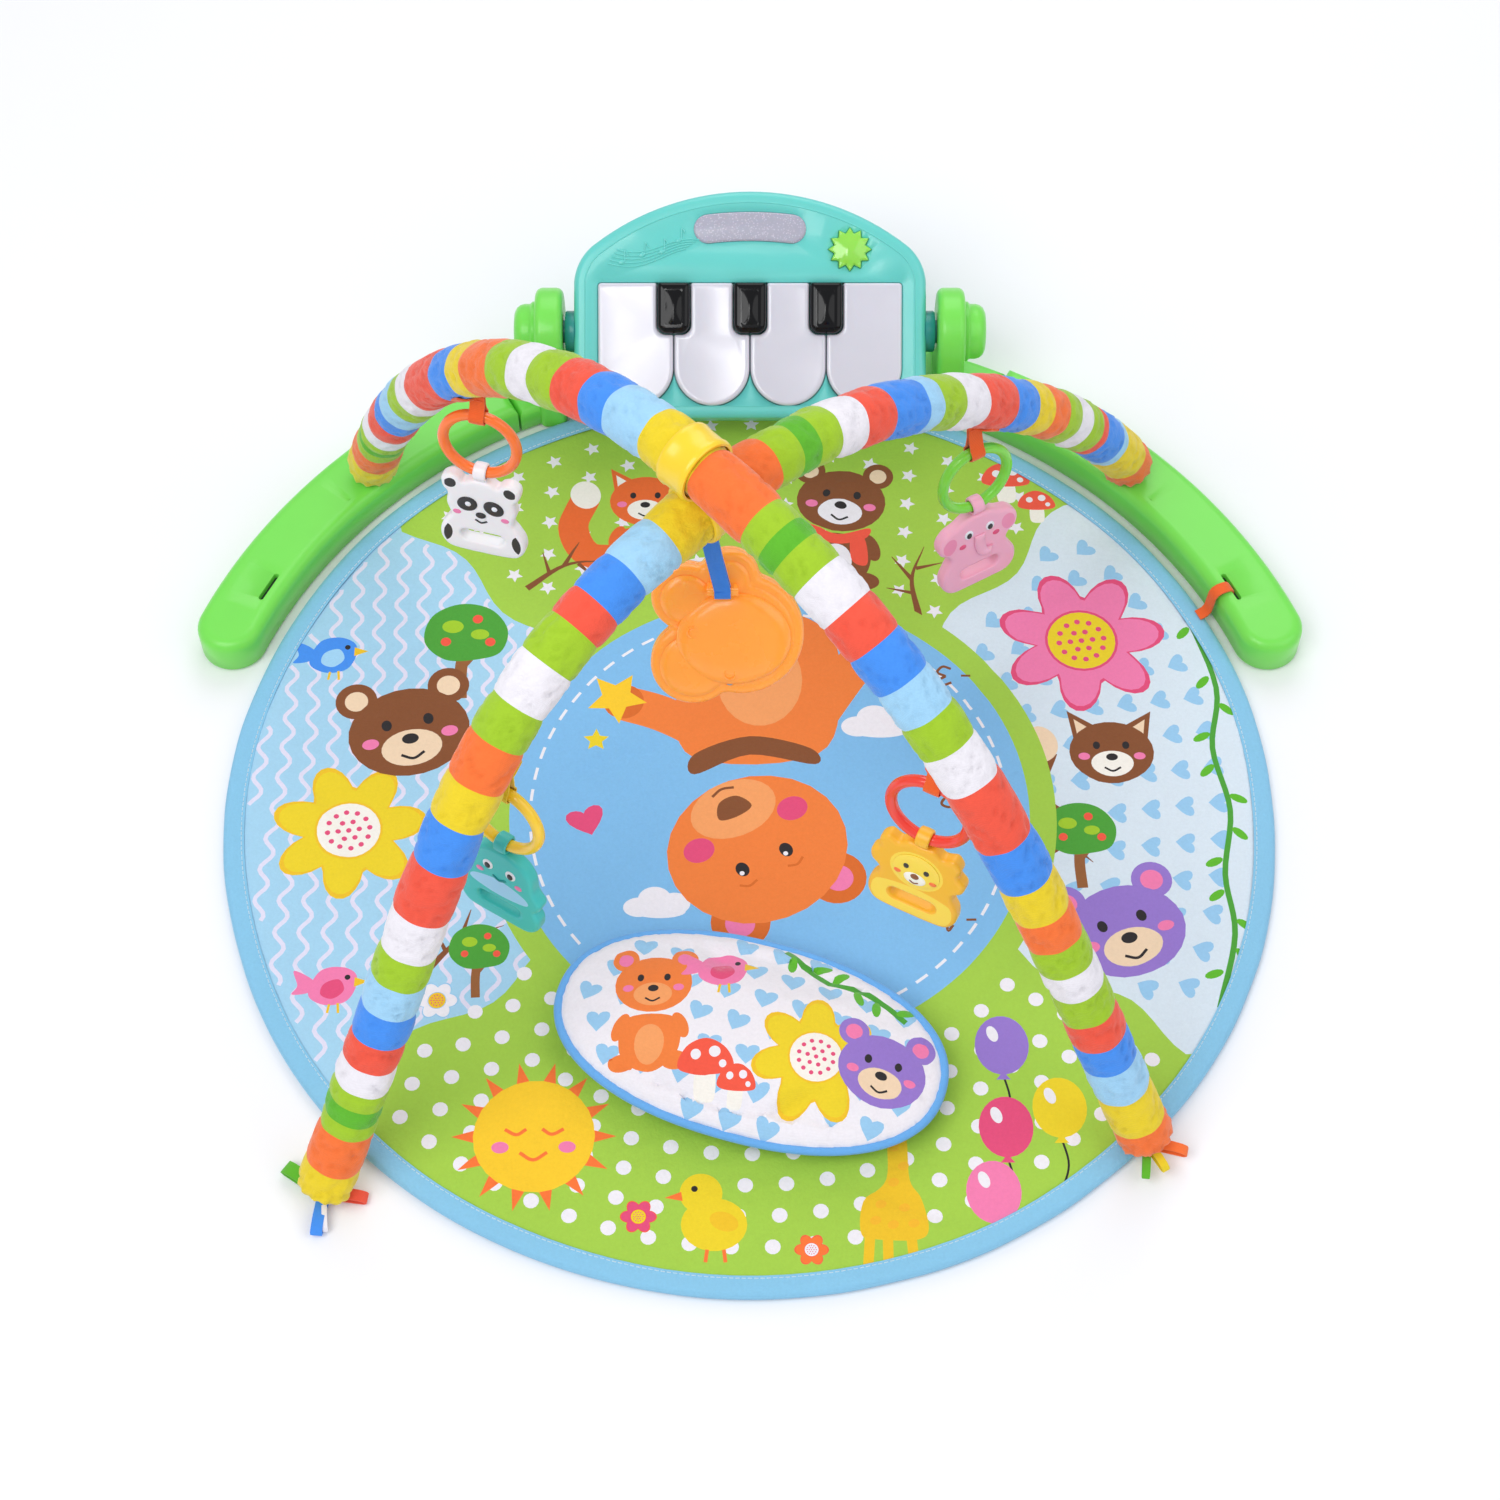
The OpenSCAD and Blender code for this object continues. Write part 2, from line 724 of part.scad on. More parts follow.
// Case outline: straight sides, arched top and rounded corners, set in by d
module case_outline(d) {
    half = kb_w / 2 - d;
    crown_c = [0, kb_high - crown_r];
    sx = kb_w / 2 - shoulder_r;
    sy = crown_c[1] + sqrt(pow(crown_r - shoulder_r, 2) - sx * sx);
    sa = atan2(sy - crown_c[1], sx);
    right = concat(
        arc_pts([kb_w / 2 - corner_r, kb_low + corner_r], corner_r - d, -90, 0, 6),
        arc_pts([sx, sy], shoulder_r - d, 0, sa, 8),
        arc_pts(crown_c, crown_r - d, sa, 90, 8));
    left = [for (i = [len(right) - 2 : -1 : 0]) [-right[i][0], right[i][1]]];
    polygon(concat(right, left));
}

function key_x(i) = (i - (key_count - 1) / 2) * key_pitch;

module white_outline(i, grow) {
    r = key_round_r + grow;
    translate([key_x(i), key_round_y]) circle(r);
    translate([key_x(i) - r, key_round_y]) square([2 * r, key_high + grow - key_round_y]);
}

module black_outline(i, grow) {
    w = black_w / 2 + grow;
    low = key_high - black_l - grow;
    x = key_x(i) + key_pitch / 2;
    translate([x - w, low + black_r]) square([2 * w, key_high + grow - low - black_r]);
    translate([x - w + black_r, low]) square([2 * (w - black_r), black_r + 1]);
    for (s = [-1, 1]) translate([x + s * (w - black_r), low + black_r]) circle(black_r);
}

module sun_outline(grow) {
    polygon([for (i = [0 : 2 * sun_rays - 1])
        (grow + (i % 2 == 0 ? sun_r : sun_core_r)) * [cos(i * 180 / sun_rays), sin(i * 180 / sun_rays)]]);
}

module window_outline(grow) {
    half_a = asin((window_l - window_w) / 2 / window_bend_r);
    c = [0, window_y - window_bend_r];
    polygon(concat(
        arc_pts(c, window_bend_r + window_w / 2 + grow, 90 - half_a, 90 + half_a, 10),
        arc_pts(c + window_bend_r * [-sin(half_a), cos(half_a)], window_w / 2 + grow, 100 + half_a, 260 + half_a, 8),
        arc_pts(c, window_bend_r - window_w / 2 - grow, 90 + half_a, 90 - half_a, 10),
        arc_pts(c + window_bend_r * [sin(half_a), cos(half_a)], window_w / 2 + grow, -80 - half_a, 80 - half_a, 8)));
}

module keyboard_front() {
    color("turquoise") kb() difference() {
        union() {
            difference() {
                union() {
                    translate([0, 0, part_z]) linear_extrude(face_z - part_z - 3) case_outline(0);
                    translate([0, 0, part_z]) linear_extrude(face_z - part_z - 1) case_outline(1.2);
                    translate([0, 0, part_z]) linear_extrude(face_z - part_z) case_outline(3);
                }
                translate([0, 0, part_z - 1]) linear_extrude(face_z - part_z - wall + 1) case_outline(wall);
            }
            for (s = [-1, 1]) translate([s * 138.5 - 1.5, rod_y - 5, rod_z - 4]) cube([3, 10, face_z - rod_z + 3]);
            for (p = case_screw_at) translate([p[0], p[1], part_z]) cylinder(r = boss_r, h = face_z - part_z - 1);
        }
        for (p = case_screw_at) translate([p[0], p[1], part_z - 1])
            cylinder(r = screw_shank_r + run_gap, h = 16);
        translate([-160, rod_y, rod_z]) rotate([0, 90, 0])
            translate([0, 0, 10]) cylinder(r = rod_r + run_gap, h = 300);
        translate([0, 0, face_z - 10]) linear_extrude(20) for (i = [0 : key_count - 1]) white_outline(i, key_gap);
        translate([sun_x, sun_y, face_z - 10]) linear_extrude(20) sun_outline(0.7);
        translate([0, 0, face_z - 10]) linear_extrude(20) window_outline(0.1);
    }
}

module keyboard_rear() {
    color("turquoise") kb() difference() {
        union() {
            difference() {
                union() {
                    translate([0, 0, back_z]) linear_extrude(part_z - back_z) case_outline(3);
                    translate([0, 0, back_z + 3]) linear_extrude(part_z - back_z - 3) case_outline(0);
                }
                translate([0, 0, back_z + wall]) linear_extrude(40) case_outline(wall + 1);
            }
            for (p = case_screw_at) translate([p[0], p[1], back_z + 1]) cylinder(r = boss_r, h = part_z - back_z - 1);
        }
        for (p = case_screw_at) translate([p[0], p[1], back_z - 1]) {
            cylinder(r = screw_shank_r + 0.2, h = 30);
            cylinder(r = screw_head_r + 0.4, h = case_screw_seat + 1);
        }
        translate([-34, -42, back_z - 1]) cube([68, 54, 10]);
        for (x = [-12 : 6 : 12]) for (y = [-12 : 6 : 12])
            translate([speaker_at[0] + x, speaker_at[1] + y, back_z - 1]) cylinder(r = 1.3, h = 10);
        translate([switch_at[0] - 8, switch_at[1] - 3, back_z - 1]) cube([16, 6, 10]);
    }
}

module pivot_hubs() {
    color("darkcyan") for (s = [-1, 1]) translate([0, kb_pivot_y, kb_pivot_z]) rotate([0, 90 * s, 0]) {
        translate([0, 0, kb_w / 2]) cylinder(r = hub_disc_r, h = lug_x0 - kb_w / 2 - hub_side_gap);
        translate([0, 0, kb_w / 2 + 2]) cylinder(r = hub_r, h = lug_x0 + lug_t - kb_w / 2 - 2.5);
    }
}

module light_window() {
    color("lavender") kb() {
        translate([0, 0, face_z - wall - 2.1]) linear_extrude(2) window_outline(2.5);
        translate([0, 0, face_z - wall - 0.2]) linear_extrude(wall + 1) window_outline(0);
    }
}

module light_board() {
    color("seagreen") kb() {
        translate([-45, window_y - 9, 4]) cube([90, 18, 1.6]);
        for (x = [-32 : 16 : 32]) translate([x, window_y, 5.6]) cylinder(r = 2.5, h = 4);
    }
}

module main_board() {
    color("seagreen") kb() translate([-125, -45, part_z + 0.4]) cube([250, 80, 1.6]);
}

// Rubber contact mat: one dome under each key
module contact_mat() {
    z0 = part_z + 2;
    color("slategray") kb() {
        translate([-120, -40, z0]) cube([240, 70, 1.2]);
        for (i = [0 : key_count - 1]) translate([key_x(i), dome_y, z0 + 1]) cylinder(r = 5, h = 4);
        for (i = [0 : key_count - 2]) translate([key_x(i) + key_pitch / 2, black_dome_y, z0 + 1]) cylinder(r = 4, h = 4);
    }
}

module speaker() {
    color("dimgray") kb() translate([speaker_at[0], speaker_at[1], back_z + wall + 0.1]) {
        cylinder(r = speaker_r, h = 4);
        translate([0, 0, 3]) cylinder(r = 13, h = 9);
    }
}

module batteries() {
    color("goldenrod") kb() for (y = [-32, -15, 2]) translate([0, y, back_z + wall + battery_r + 0.3])
        across(battery_r, battery_l);
}

module battery_door() {
    color("turquoise") kb() {
        translate([-33.7, -41.7, back_z]) cube([67.4, 53.4, wall - 0.2]);
        translate([-8, -44, back_z + wall + 0.1]) cube([16, 4, 1.4]);
        translate([-8, -41.6, back_z + 1]) cube([16, 1.6, 2.9]);
    }
}

module case_screws() {
    color("silver") kb() for (p = case_screw_at) translate([p[0], p[1], back_z + case_screw_seat])
        rotate([180, 0, 0]) {
        cylinder(r = screw_head_r, h = 2);
        translate([0, 0, -19]) cylinder(r = screw_shank_r, h = 20);
    }
}

module key_rod() {
    color("silver") kb() translate([0, rod_y, rod_z]) across(rod_r, 279);
}

module key_ear(x) {
    translate([x, rod_y, rod_z]) across(ear_r, ear_t);
    translate([x - ear_t / 2, key_high - 4, rod_z - ear_r]) cube([ear_t, rod_y - key_high + 4, 2 * ear_r]);
}

module white_key(i) {
    ear_x = [key_x(i) - 8, key_x(i) + 8];
    color("white") kb() {
        translate([key_x(i), dome_y, plunger_z]) cylinder(r = plunger_r, h = key_top_z - plunger_z - 1);
        white_key_shell(i, ear_x);
    }
}

module white_key_shell(i, ear_x) {
    difference() {
        union() {
            translate([0, 0, key_skirt_z]) linear_extrude(key_top_z - key_skirt_z) difference() {
                white_outline(i, 0);
                for (b = [i - 1, i]) if (b >= 0 && b < key_count - 1) black_outline(b, key_gap);
            }
            for (x = ear_x) key_ear(x);
        }
        translate([key_x(i), key_round_y, key_skirt_z - 1])
            cylinder(r = key_round_r - wall, h = key_top_z - key_skirt_z - wall + 1);
        translate([key_x(i) - 14, key_round_y, key_skirt_z - 1])
            cube([28, key_high - 4 - key_round_y, key_top_z - key_skirt_z - wall + 1]);
        for (x = ear_x) translate([x, rod_y, rod_z]) across(rod_r + run_gap, 3 * ear_t);
    }
}

module white_key_1() {
    white_key(0);
}

module white_key_2() {
    white_key(1);
}

module white_key_3() {
    white_key(2);
}

module white_key_4() {
    white_key(3);
}

module black_key(i) {
    x = key_x(i) + key_pitch / 2;
    color("black") kb() {
        translate([x, black_dome_y, plunger_z - 1]) cylinder(r = plunger_r, h = black_top_z - plunger_z);
        black_key_shell(i, x);
    }
}

module black_key_shell(i, x) {
    difference() {
        union() {
            translate([0, 0, key_skirt_z]) linear_extrude(black_top_z - key_skirt_z - 2) black_outline(i, 0);
            translate([0, 0, key_skirt_z]) linear_extrude(black_top_z - key_skirt_z) black_outline(i, -1.6);
            key_ear(x);
        }
        translate([x - black_w / 2 + wall, key_high - black_l + 5, key_skirt_z - 1])
            cube([black_w - 2 * wall, black_l - 9, black_top_z - key_skirt_z - wall]);
        translate([x, rod_y, rod_z]) across(rod_r + run_gap, 3 * ear_t);
    }
}

module black_key_1() {
    black_key(0);
}

module black_key_2() {
    black_key(1);
}

module black_key_3() {
    black_key(2);
}

module sun_button() {
    color("lime") kb() translate([sun_x, sun_y, 0]) {
        translate([0, 0, face_z - wall - 2.3]) cylinder(r = sun_r + 2, h = 2);
        translate([0, 0, 12]) linear_extrude(face_z + 2.5 - 12) sun_outline(0);
        translate([0, 0, 12]) cylinder(r = sun_core_r - 1, h = face_z + 4 - 12);
    }
}

module power_switch() {
    color("dimgray") kb() translate([switch_at[0], switch_at[1], 0]) {
        translate([-3, -2.6, back_z - 1.5]) cube([6, 5.2, 5]);
        translate([-7, -5, back_z + wall + 0.3]) cube([14, 10, 2]);
    }
}

// ---- pillow ----
module pillow() {
    color("lightcyan") translate([0, -229, mat_t + pillow_t / 2 + 0.4]) rotate([0, 0, pillow_turn])
        scale([pillow_l / 2, pillow_w / 2, pillow_t / 2]) sphere(1, $fn = 36);
}

mat_pad();
mat_binding();
centre_base();
centre_cover();
left_leg();
right_leg();
left_leg_cover();
right_leg_cover();
rubber_feet();
cover_screws();
left_pivot_cap();
right_pivot_cap();
mat_strap();
foot_tags();
sleeve_a();
sleeve_b();
pole_a();
pole_b();
socket_plugs();
foot_plugs();
crossover_clip();
panda_strap();
lion_strap();
elephant_strap();
whale_strap();
mirror_strap();
panda_ring();
lion_ring();
elephant_ring();
whale_ring();
panda_teether();
lion_teether();
elephant_teether();
whale_teether();
mirror_back();
mirror_bezel();
mirror_disc();
mirror_screws();
keyboard_front();
keyboard_rear();
pivot_hubs();
light_window();
light_board();
main_board();
contact_mat();
speaker();
batteries();
battery_door();
case_screws();
key_rod();
white_key_1();
white_key_2();
white_key_3();
white_key_4();
black_key_1();
black_key_2();
black_key_3();
sun_button();
power_switch();
pillow();
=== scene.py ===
"""Looks of the activity play gym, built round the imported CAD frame.

Plans and profiles are in millimetres; every mesh is stored in metres.
"""
from math import acos, asin, atan2, cos, degrees, exp, hypot, pi, radians, sin, sqrt, tau

import bmesh
import bpy
import numpy as np
from mathutils import Matrix, Vector, noise
from mathutils.bvhtree import BVHTree
from mathutils.geometry import delaunay_2d_cdt


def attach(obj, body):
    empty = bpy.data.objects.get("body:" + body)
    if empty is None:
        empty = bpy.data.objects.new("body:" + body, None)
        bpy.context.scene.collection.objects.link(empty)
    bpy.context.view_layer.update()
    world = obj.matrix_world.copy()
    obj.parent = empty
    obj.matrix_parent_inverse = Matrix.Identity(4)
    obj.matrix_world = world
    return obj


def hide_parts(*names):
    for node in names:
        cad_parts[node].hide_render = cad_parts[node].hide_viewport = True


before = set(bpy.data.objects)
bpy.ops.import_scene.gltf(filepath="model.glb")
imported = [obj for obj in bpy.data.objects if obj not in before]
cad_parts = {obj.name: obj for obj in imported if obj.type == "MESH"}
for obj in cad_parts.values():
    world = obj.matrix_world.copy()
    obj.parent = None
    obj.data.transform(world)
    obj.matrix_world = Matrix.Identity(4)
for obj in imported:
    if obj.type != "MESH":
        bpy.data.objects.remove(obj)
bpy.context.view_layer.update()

MM = 0.001

# ---- colours, as sRGB hex ----
PALETTE = {
    "lime": "A6CF2E", "dark_green": "63BC2E", "white": "F4F0F6", "red": "F85C46", "blue": "4894F4",
    "light_blue": "A6D8F8", "yellow": "F2D62A", "orange": "FF7A3A",
    "mat_green": "A8D24C", "sky": "A8D6F0", "lilac": "E6E2F6", "disc": "84C0EE", "cream": "FBF6EC",
    "snow": "DDEAF4",
    "leaf": "4FA43A", "trunk": "9A6238", "brown": "8A5230", "pink": "F781B2", "rose": "E9507E",
    "purple": "9A7BD0", "bear": "F7843E", "bear_dark": "E06F2C", "bear_light": "FBA566",
    "ink": "2E2A2C", "sun": "FFCF2E", "heart_blue": "9CCDF0", "fox": "F06E32", "teal": "3FC4BE",
    "teal_dark": "2A9A9C", "skin": "F6D9B8",
    "panda": "F3F0F4", "elephant": "F9B2CB", "elephant_dark": "F492B6", "lion": "FFDC50",
    "lion_dark": "F9BC2E", "gold": "F4C629",
}


def srgb(code):
    """Linear colour of a hex code."""
    code = PALETTE.get(code, code)
    part = [int(code[i:i + 2], 16) / 255 for i in (0, 2, 4)]
    return tuple(c / 12.92 if c <= 0.04045 else ((c + 0.055) / 1.055) ** 2.4 for c in part) + (1.0,)


# ---- materials ----
def node_tree(name):
    """New material with its tree and its shader."""
    mat = bpy.data.materials.new(name)
    mat.use_nodes = True
    return mat, mat.node_tree, mat.node_tree.nodes["Principled BSDF"]


def link(tree, a, b):
    """Joins two sockets."""
    tree.links.new(a, b)


def settle(shader, **values):
    """Constants on a shader's sockets; an underscore stands for a space."""
    for key, value in values.items():
        shader.inputs[key.replace("_", " ")].default_value = value


def add(tree, kind, **settings):
    """New node; each setting is one of its inputs or properties."""
    made = tree.nodes.new(kind)
    for key, value in settings.items():
        if key in made.inputs:
            made.inputs[key].default_value = value
        else:
            setattr(made, key, value)
    return made


def speckle(tree, place, scale, detail, roughness=0.5):
    """Noise over the object's own coordinates."""
    made = add(tree, "ShaderNodeTexNoise", Scale=scale, Detail=detail, Roughness=roughness)
    link(tree, place, made.inputs["Vector"])
    return made.outputs["Fac"]


def spread(tree, value, low, high):
    """A value of 0 to 1 stretched over a range."""
    span = add(tree, "ShaderNodeMapRange", **{"To Min": low, "To Max": high})
    link(tree, value, span.inputs["Value"])
    return span.outputs["Result"]


def multiplied(tree, base, factor):
    """The base colour times a factor."""
    mix = add(tree, "ShaderNodeMix", data_type="RGBA", blend_type="MULTIPLY")
    mix.inputs[0].default_value = 1.0
    link(tree, base, mix.inputs[6])
    link(tree, factor, mix.inputs[7])
    return mix.outputs[2]


def bumped(tree, height, strength, distance, under=None):
    """Normal raised by a height, over another normal if one is given."""
    made = add(tree, "ShaderNodeBump", Strength=strength, Distance=distance)
    link(tree, height, made.inputs["Height"])
    if under is not None:
        link(tree, under, made.inputs["Normal"])
    return made.outputs["Normal"]


def coloured(tree, colour):
    """Socket with the plain colour, or with the mesh's printed colours when colour is None."""
    if colour is None:
        return add(tree, "ShaderNodeAttribute", attribute_name="print").outputs["Color"]
    rgb = add(tree, "ShaderNodeRGB")
    rgb.outputs[0].default_value = srgb(colour)
    return rgb.outputs[0]


def varied(tree, base, place, scale, depth):
    """The base colour, made lighter and darker by noise."""
    grain = speckle(tree, place, scale, 4.0, 0.6)
    return multiplied(tree, base, spread(tree, grain, 1 - depth, 1 + depth))


def plastic(name, colour=None, rough=0.3, coat=0.25, grain=0.02, fine=2600.0, subsurface=0.0,
            ior=1.47, painted_glow=None):
    """Moulded plastic: faint flow marks in its colour, fine surface grain and uneven gloss.

    A colour given last paints a faint emission over the whole part: painted light that brightens it, as the
    plastic is no lamp.
    """
    mat, tree, shader = node_tree(name)
    place = add(tree, "ShaderNodeTexCoord").outputs["Object"]
    link(tree, varied(tree, coloured(tree, colour), place, 22.0, 0.035), shader.inputs["Base Color"])
    smear = speckle(tree, place, 38.0, 5.0)
    link(tree, spread(tree, smear, rough - 0.07, rough + 0.09), shader.inputs["Roughness"])
    pits = speckle(tree, place, fine, 2.0)
    link(tree, bumped(tree, pits, grain * 4, 0.0002), shader.inputs["Normal"])
    settle(shader, Coat_Weight=coat, Coat_Roughness=0.12, IOR=ior)
    if subsurface:
        settle(shader, Subsurface_Weight=subsurface, Subsurface_Scale=0.004)
    # painted light: a faint emission in the given colour brightens the whole part
    if painted_glow:
        settle(shader, Emission_Color=srgb(painted_glow), Emission_Strength=0.16)
    return mat


def fabric(name, colour=None, thread=0.7, sheen=0.35, crumple=0.25):
    """Woven cloth: crossed threads of the given size in mm, slubs, soft crumples and sheen."""
    mat, tree, shader = node_tree(name)
    place = add(tree, "ShaderNodeTexCoord").outputs["Object"]
    weave = add(tree, "ShaderNodeMath", operation="MULTIPLY")
    for k, way in enumerate("XY"):
        wave = add(tree, "ShaderNodeTexWave", bands_direction=way, Scale=0.31 / (thread * MM),
                   Distortion=0.5, Detail=1.0)
        link(tree, place, wave.inputs["Vector"])
        link(tree, wave.outputs["Fac"], weave.inputs[k])
    base = varied(tree, coloured(tree, colour), place, 420.0, 0.07)
    base = varied(tree, base, place, 9.0, 0.035)
    base = multiplied(tree, base, spread(tree, weave.outputs[0], 0.93, 1.03))
    link(tree, base, shader.inputs["Base Color"])
    coarse = bumped(tree, speckle(tree, place, 48.0, 4.0, 0.55), crumple, 0.004)
    link(tree, bumped(tree, weave.outputs[0], 0.35, 0.0004, coarse), shader.inputs["Normal"])
    settle(shader, Roughness=0.82, Sheen_Weight=sheen, Sheen_Roughness=0.4, Specular_IOR_Level=0.25)
    return mat


def metal(name, colour, rough=0.3):
    """Bare metal with fine uneven scratches in its gloss."""
    mat, tree, shader = node_tree(name)
    place = add(tree, "ShaderNodeTexCoord").outputs["Object"]
    link(tree, varied(tree, coloured(tree, colour), place, 300.0, 0.08), shader.inputs["Base Color"])
    scratch = speckle(tree, place, 900.0, 3.0)
    link(tree, spread(tree, scratch, rough - 0.08, rough + 0.12), shader.inputs["Roughness"])
    settle(shader, Metallic=1.0)
    return mat


def pearl(name):
    """Translucent lilac window with fine glitter moulded in."""
    mat, tree, shader = node_tree(name)
    place = add(tree, "ShaderNodeTexCoord").outputs["Object"]
    flakes = add(tree, "ShaderNodeTexVoronoi", Scale=520.0)
    link(tree, place, flakes.inputs["Vector"])
    ramp = add(tree, "ShaderNodeValToRGB")
    ramp.color_ramp.elements[0].color = srgb("D9D6E2")
    ramp.color_ramp.elements[1].color = srgb("AFAEBE")
    ramp.color_ramp.elements[1].position = 0.42
    link(tree, flakes.outputs["Distance"], ramp.inputs["Fac"])
    link(tree, varied(tree, ramp.outputs["Color"], place, 60.0, 0.06), shader.inputs["Base Color"])
    settle(shader, Roughness=0.14, Coat_Weight=0.6, Subsurface_Weight=0.2, Subsurface_Scale=0.003)
    return mat


MAT = {
    "green": plastic("moulded_green", "77E052", rough=0.34, coat=0.2, subsurface=0.05),
    "teal": plastic("moulded_teal", "66D0C8", rough=0.32, coat=0.25, subsurface=0.05),
    "teal_deep": plastic("moulded_teal_deep", "23908F", rough=0.35),
    "key_white": plastic("key_white", "D6D5E0", rough=0.15, coat=0.8, grain=0.003, subsurface=0.08),
    "key_black": plastic("key_black", "060608", rough=0.1, coat=0.15, grain=0.002, ior=1.3),
    "button": plastic("button_green", "93E04A", rough=0.12, coat=0.8, grain=0.003, subsurface=0.15),
    "yellow": plastic("moulded_yellow", "F6D22A", rough=0.3),
    # the mirror toy's orange glows faintly: painted light that brightens the whole toy
    "orange": plastic("moulded_orange", "FFA43A", rough=0.26, coat=0.35, subsurface=0.25,
                      painted_glow="FF8A2A"),
    "ring_orange": plastic("ring_orange", "FF7A2C", rough=0.2, coat=0.5, subsurface=0.12),
    "ring_red": plastic("ring_red", "F2402F", rough=0.2, coat=0.5, subsurface=0.12),
    "ring_lime": plastic("ring_lime", "7EDB3A", rough=0.2, coat=0.5, subsurface=0.12),
    "ring_yellow": plastic("ring_yellow", "FFD32E", rough=0.2, coat=0.5, subsurface=0.12),
    "toy": plastic("soft_toy", None, rough=0.36, coat=0.15, subsurface=0.12),
    # dark plastic for the speaker and switch, and painted shade on the floors of holes
    "dark": plastic("dark_plastic_and_hole_shade", "232427", rough=0.5, coat=0.0),
    "white_plastic": plastic("pole_plastic", "E6E5E0", rough=0.5, coat=0.0),
    "board": plastic("board_green", "1F7A45", rough=0.4),
    "rubber": plastic("foot_rubber", "333436", rough=0.75, coat=0.0, grain=0.1, fine=900.0),
    "steel": metal("screw_steel", "B8B9BC", 0.3),
    "mirror": metal("mirror_face", "E2E4E8", 0.1),
    "brass": metal("battery_wrap", "C79A3A", 0.35),
    "pearl": pearl("window_pearl"),
    "mat": fabric("mat_print", None, thread=0.8, crumple=0.55),
    "mat_back": fabric("mat_backing", "D9DDE2", thread=1.2),
    "binding": fabric("mat_binding_cloth", "8CC9EA", thread=0.9, crumple=0.55, sheen=0.25),
    "sleeve": fabric("sleeve_stripes", None, thread=0.7, crumple=0.8, sheen=0.3),
    "pillow": fabric("pillow_print", None, thread=0.9, crumple=0.45, sheen=0.5),
    "piping": fabric("pillow_piping_cloth", "6DB0EE", thread=0.8, crumple=0.5),
    "web_orange": fabric("webbing_orange", "F4682E", thread=0.9),
    "web_yellow": fabric("webbing_yellow", "F0CE2C", thread=0.9),
    "web_blue": fabric("webbing_blue", "3F86E6", thread=0.9),
    "ribbon": fabric("ribbon_cloth", None, thread=0.5, crumple=0.2),
    "thread": fabric("stitch_thread", "DDEFF8", thread=0.4),
}


# ---- mesh tools ----
def place_in(matrix, points):
    """Points in mm through a matrix in mm, as metres."""
    return [(matrix @ Vector(p)) * MM for p in points]


def build(name, verts, faces, mat, colours=None, sharp=38.0, matrix=Matrix()):
    """Mesh object from mm points; colours is one palette name for each face."""
    mesh = bpy.data.meshes.new(name)
    mesh.from_pydata(place_in(matrix, verts), [], faces)
    mesh.validate()
    piece = bpy.data.objects.new(name, mesh)
    bpy.context.scene.collection.objects.link(piece)
    mesh.materials.append(MAT[mat])
    if colours is not None:
        layer = mesh.color_attributes.new("print", "FLOAT_COLOR", "CORNER")
        table = {c: srgb(c) for c in set(colours)}
        for face, colour in zip(mesh.polygons, colours):
            for corner in face.loop_indices:
                layer.data[corner].color = table[colour]
    mesh.shade_smooth()
    mesh.set_sharp_from_angle(angle=radians(sharp))
    return piece


def merge(name, pieces):
    """Joins pieces into the first one and names it."""
    bm = bmesh.new()
    mats = []
    for piece in pieces:
        slot = piece.data.materials[0]
        if slot not in mats:
            mats.append(slot)
        start = len(bm.faces)
        bm.from_mesh(piece.data)
        bm.faces.ensure_lookup_table()
        for face in bm.faces[start:]:
            face.material_index = mats.index(slot)
    first = pieces[0]
    old = [p.data for p in pieces]
    bm.to_mesh(first.data)
    bm.free()
    first.data.materials.clear()
    for slot in mats:
        first.data.materials.append(slot)
    for piece in pieces[1:]:
        bpy.data.objects.remove(piece)
    for mesh in old[1:]:
        bpy.data.meshes.remove(mesh)
    first.name = name
    return first


def mirrored(piece, name):
    """Copy of a piece flipped across the middle of the gym."""
    mesh = piece.data.copy()
    mesh.transform(Matrix.Scale(-1, 4, (1, 0, 0)))
    mesh.flip_normals()
    copy = bpy.data.objects.new(name, mesh)
    bpy.context.scene.collection.objects.link(copy)
    return copy


def quads(first, rows, count, closed=False, flip=False):
    """Faces between rings of points; flip turns them to face the other way."""
    made = []
    for i in range(rows if closed else rows - 1):
        low, high = first + i * count, first + (i + 1) % rows * count
        for k in range(count):
            n = (k + 1) % count
            made.append([low + k, high + k, high + n, low + n] if flip
                        else [low + k, low + n, high + n, high + k])
    return made


def end_faces(rows, count, flip=False):
    """Faces that close the first and the last ring."""
    ends = [list(range(count))[::-1], [(rows - 1) * count + k for k in range(count)]]
    return [end[::-1] for end in ends] if flip else ends


def turns_left(loop):
    """Whether a closed loop runs anticlockwise."""
    return sum(a[0] * b[1] - a[1] * b[0] for a, b in zip(loop, loop[1:] + loop[:1])) > 0


def heading(pts, i, closed):
    """Direction of a path at one of its points."""
    ahead = pts[(i + 1) % len(pts)] if closed or i < len(pts) - 1 else pts[i]
    behind = pts[i - 1] if closed or i else pts[i]
    return (ahead - behind).normalized()


def inside(points, loop):
    """Which of the points lie in a closed loop."""
    pts = np.asarray(points, float)
    ring = np.asarray(loop, float)
    hit = np.zeros(len(pts), bool)
    low, high = ring.min(0), ring.max(0)
    near = np.where(np.all((pts >= low) & (pts <= high), axis=1))[0]
    x, y = pts[near, 0], pts[near, 1]
    flag = np.zeros(len(near), bool)
    for (x0, y0), (x1, y1) in zip(ring, np.roll(ring, -1, axis=0)):
        if y0 != y1:
            flag ^= ((y0 > y) != (y1 > y)) & (x < (x1 - x0) * (y - y0) / (y1 - y0) + x0)
    hit[near] = flag
    return hit


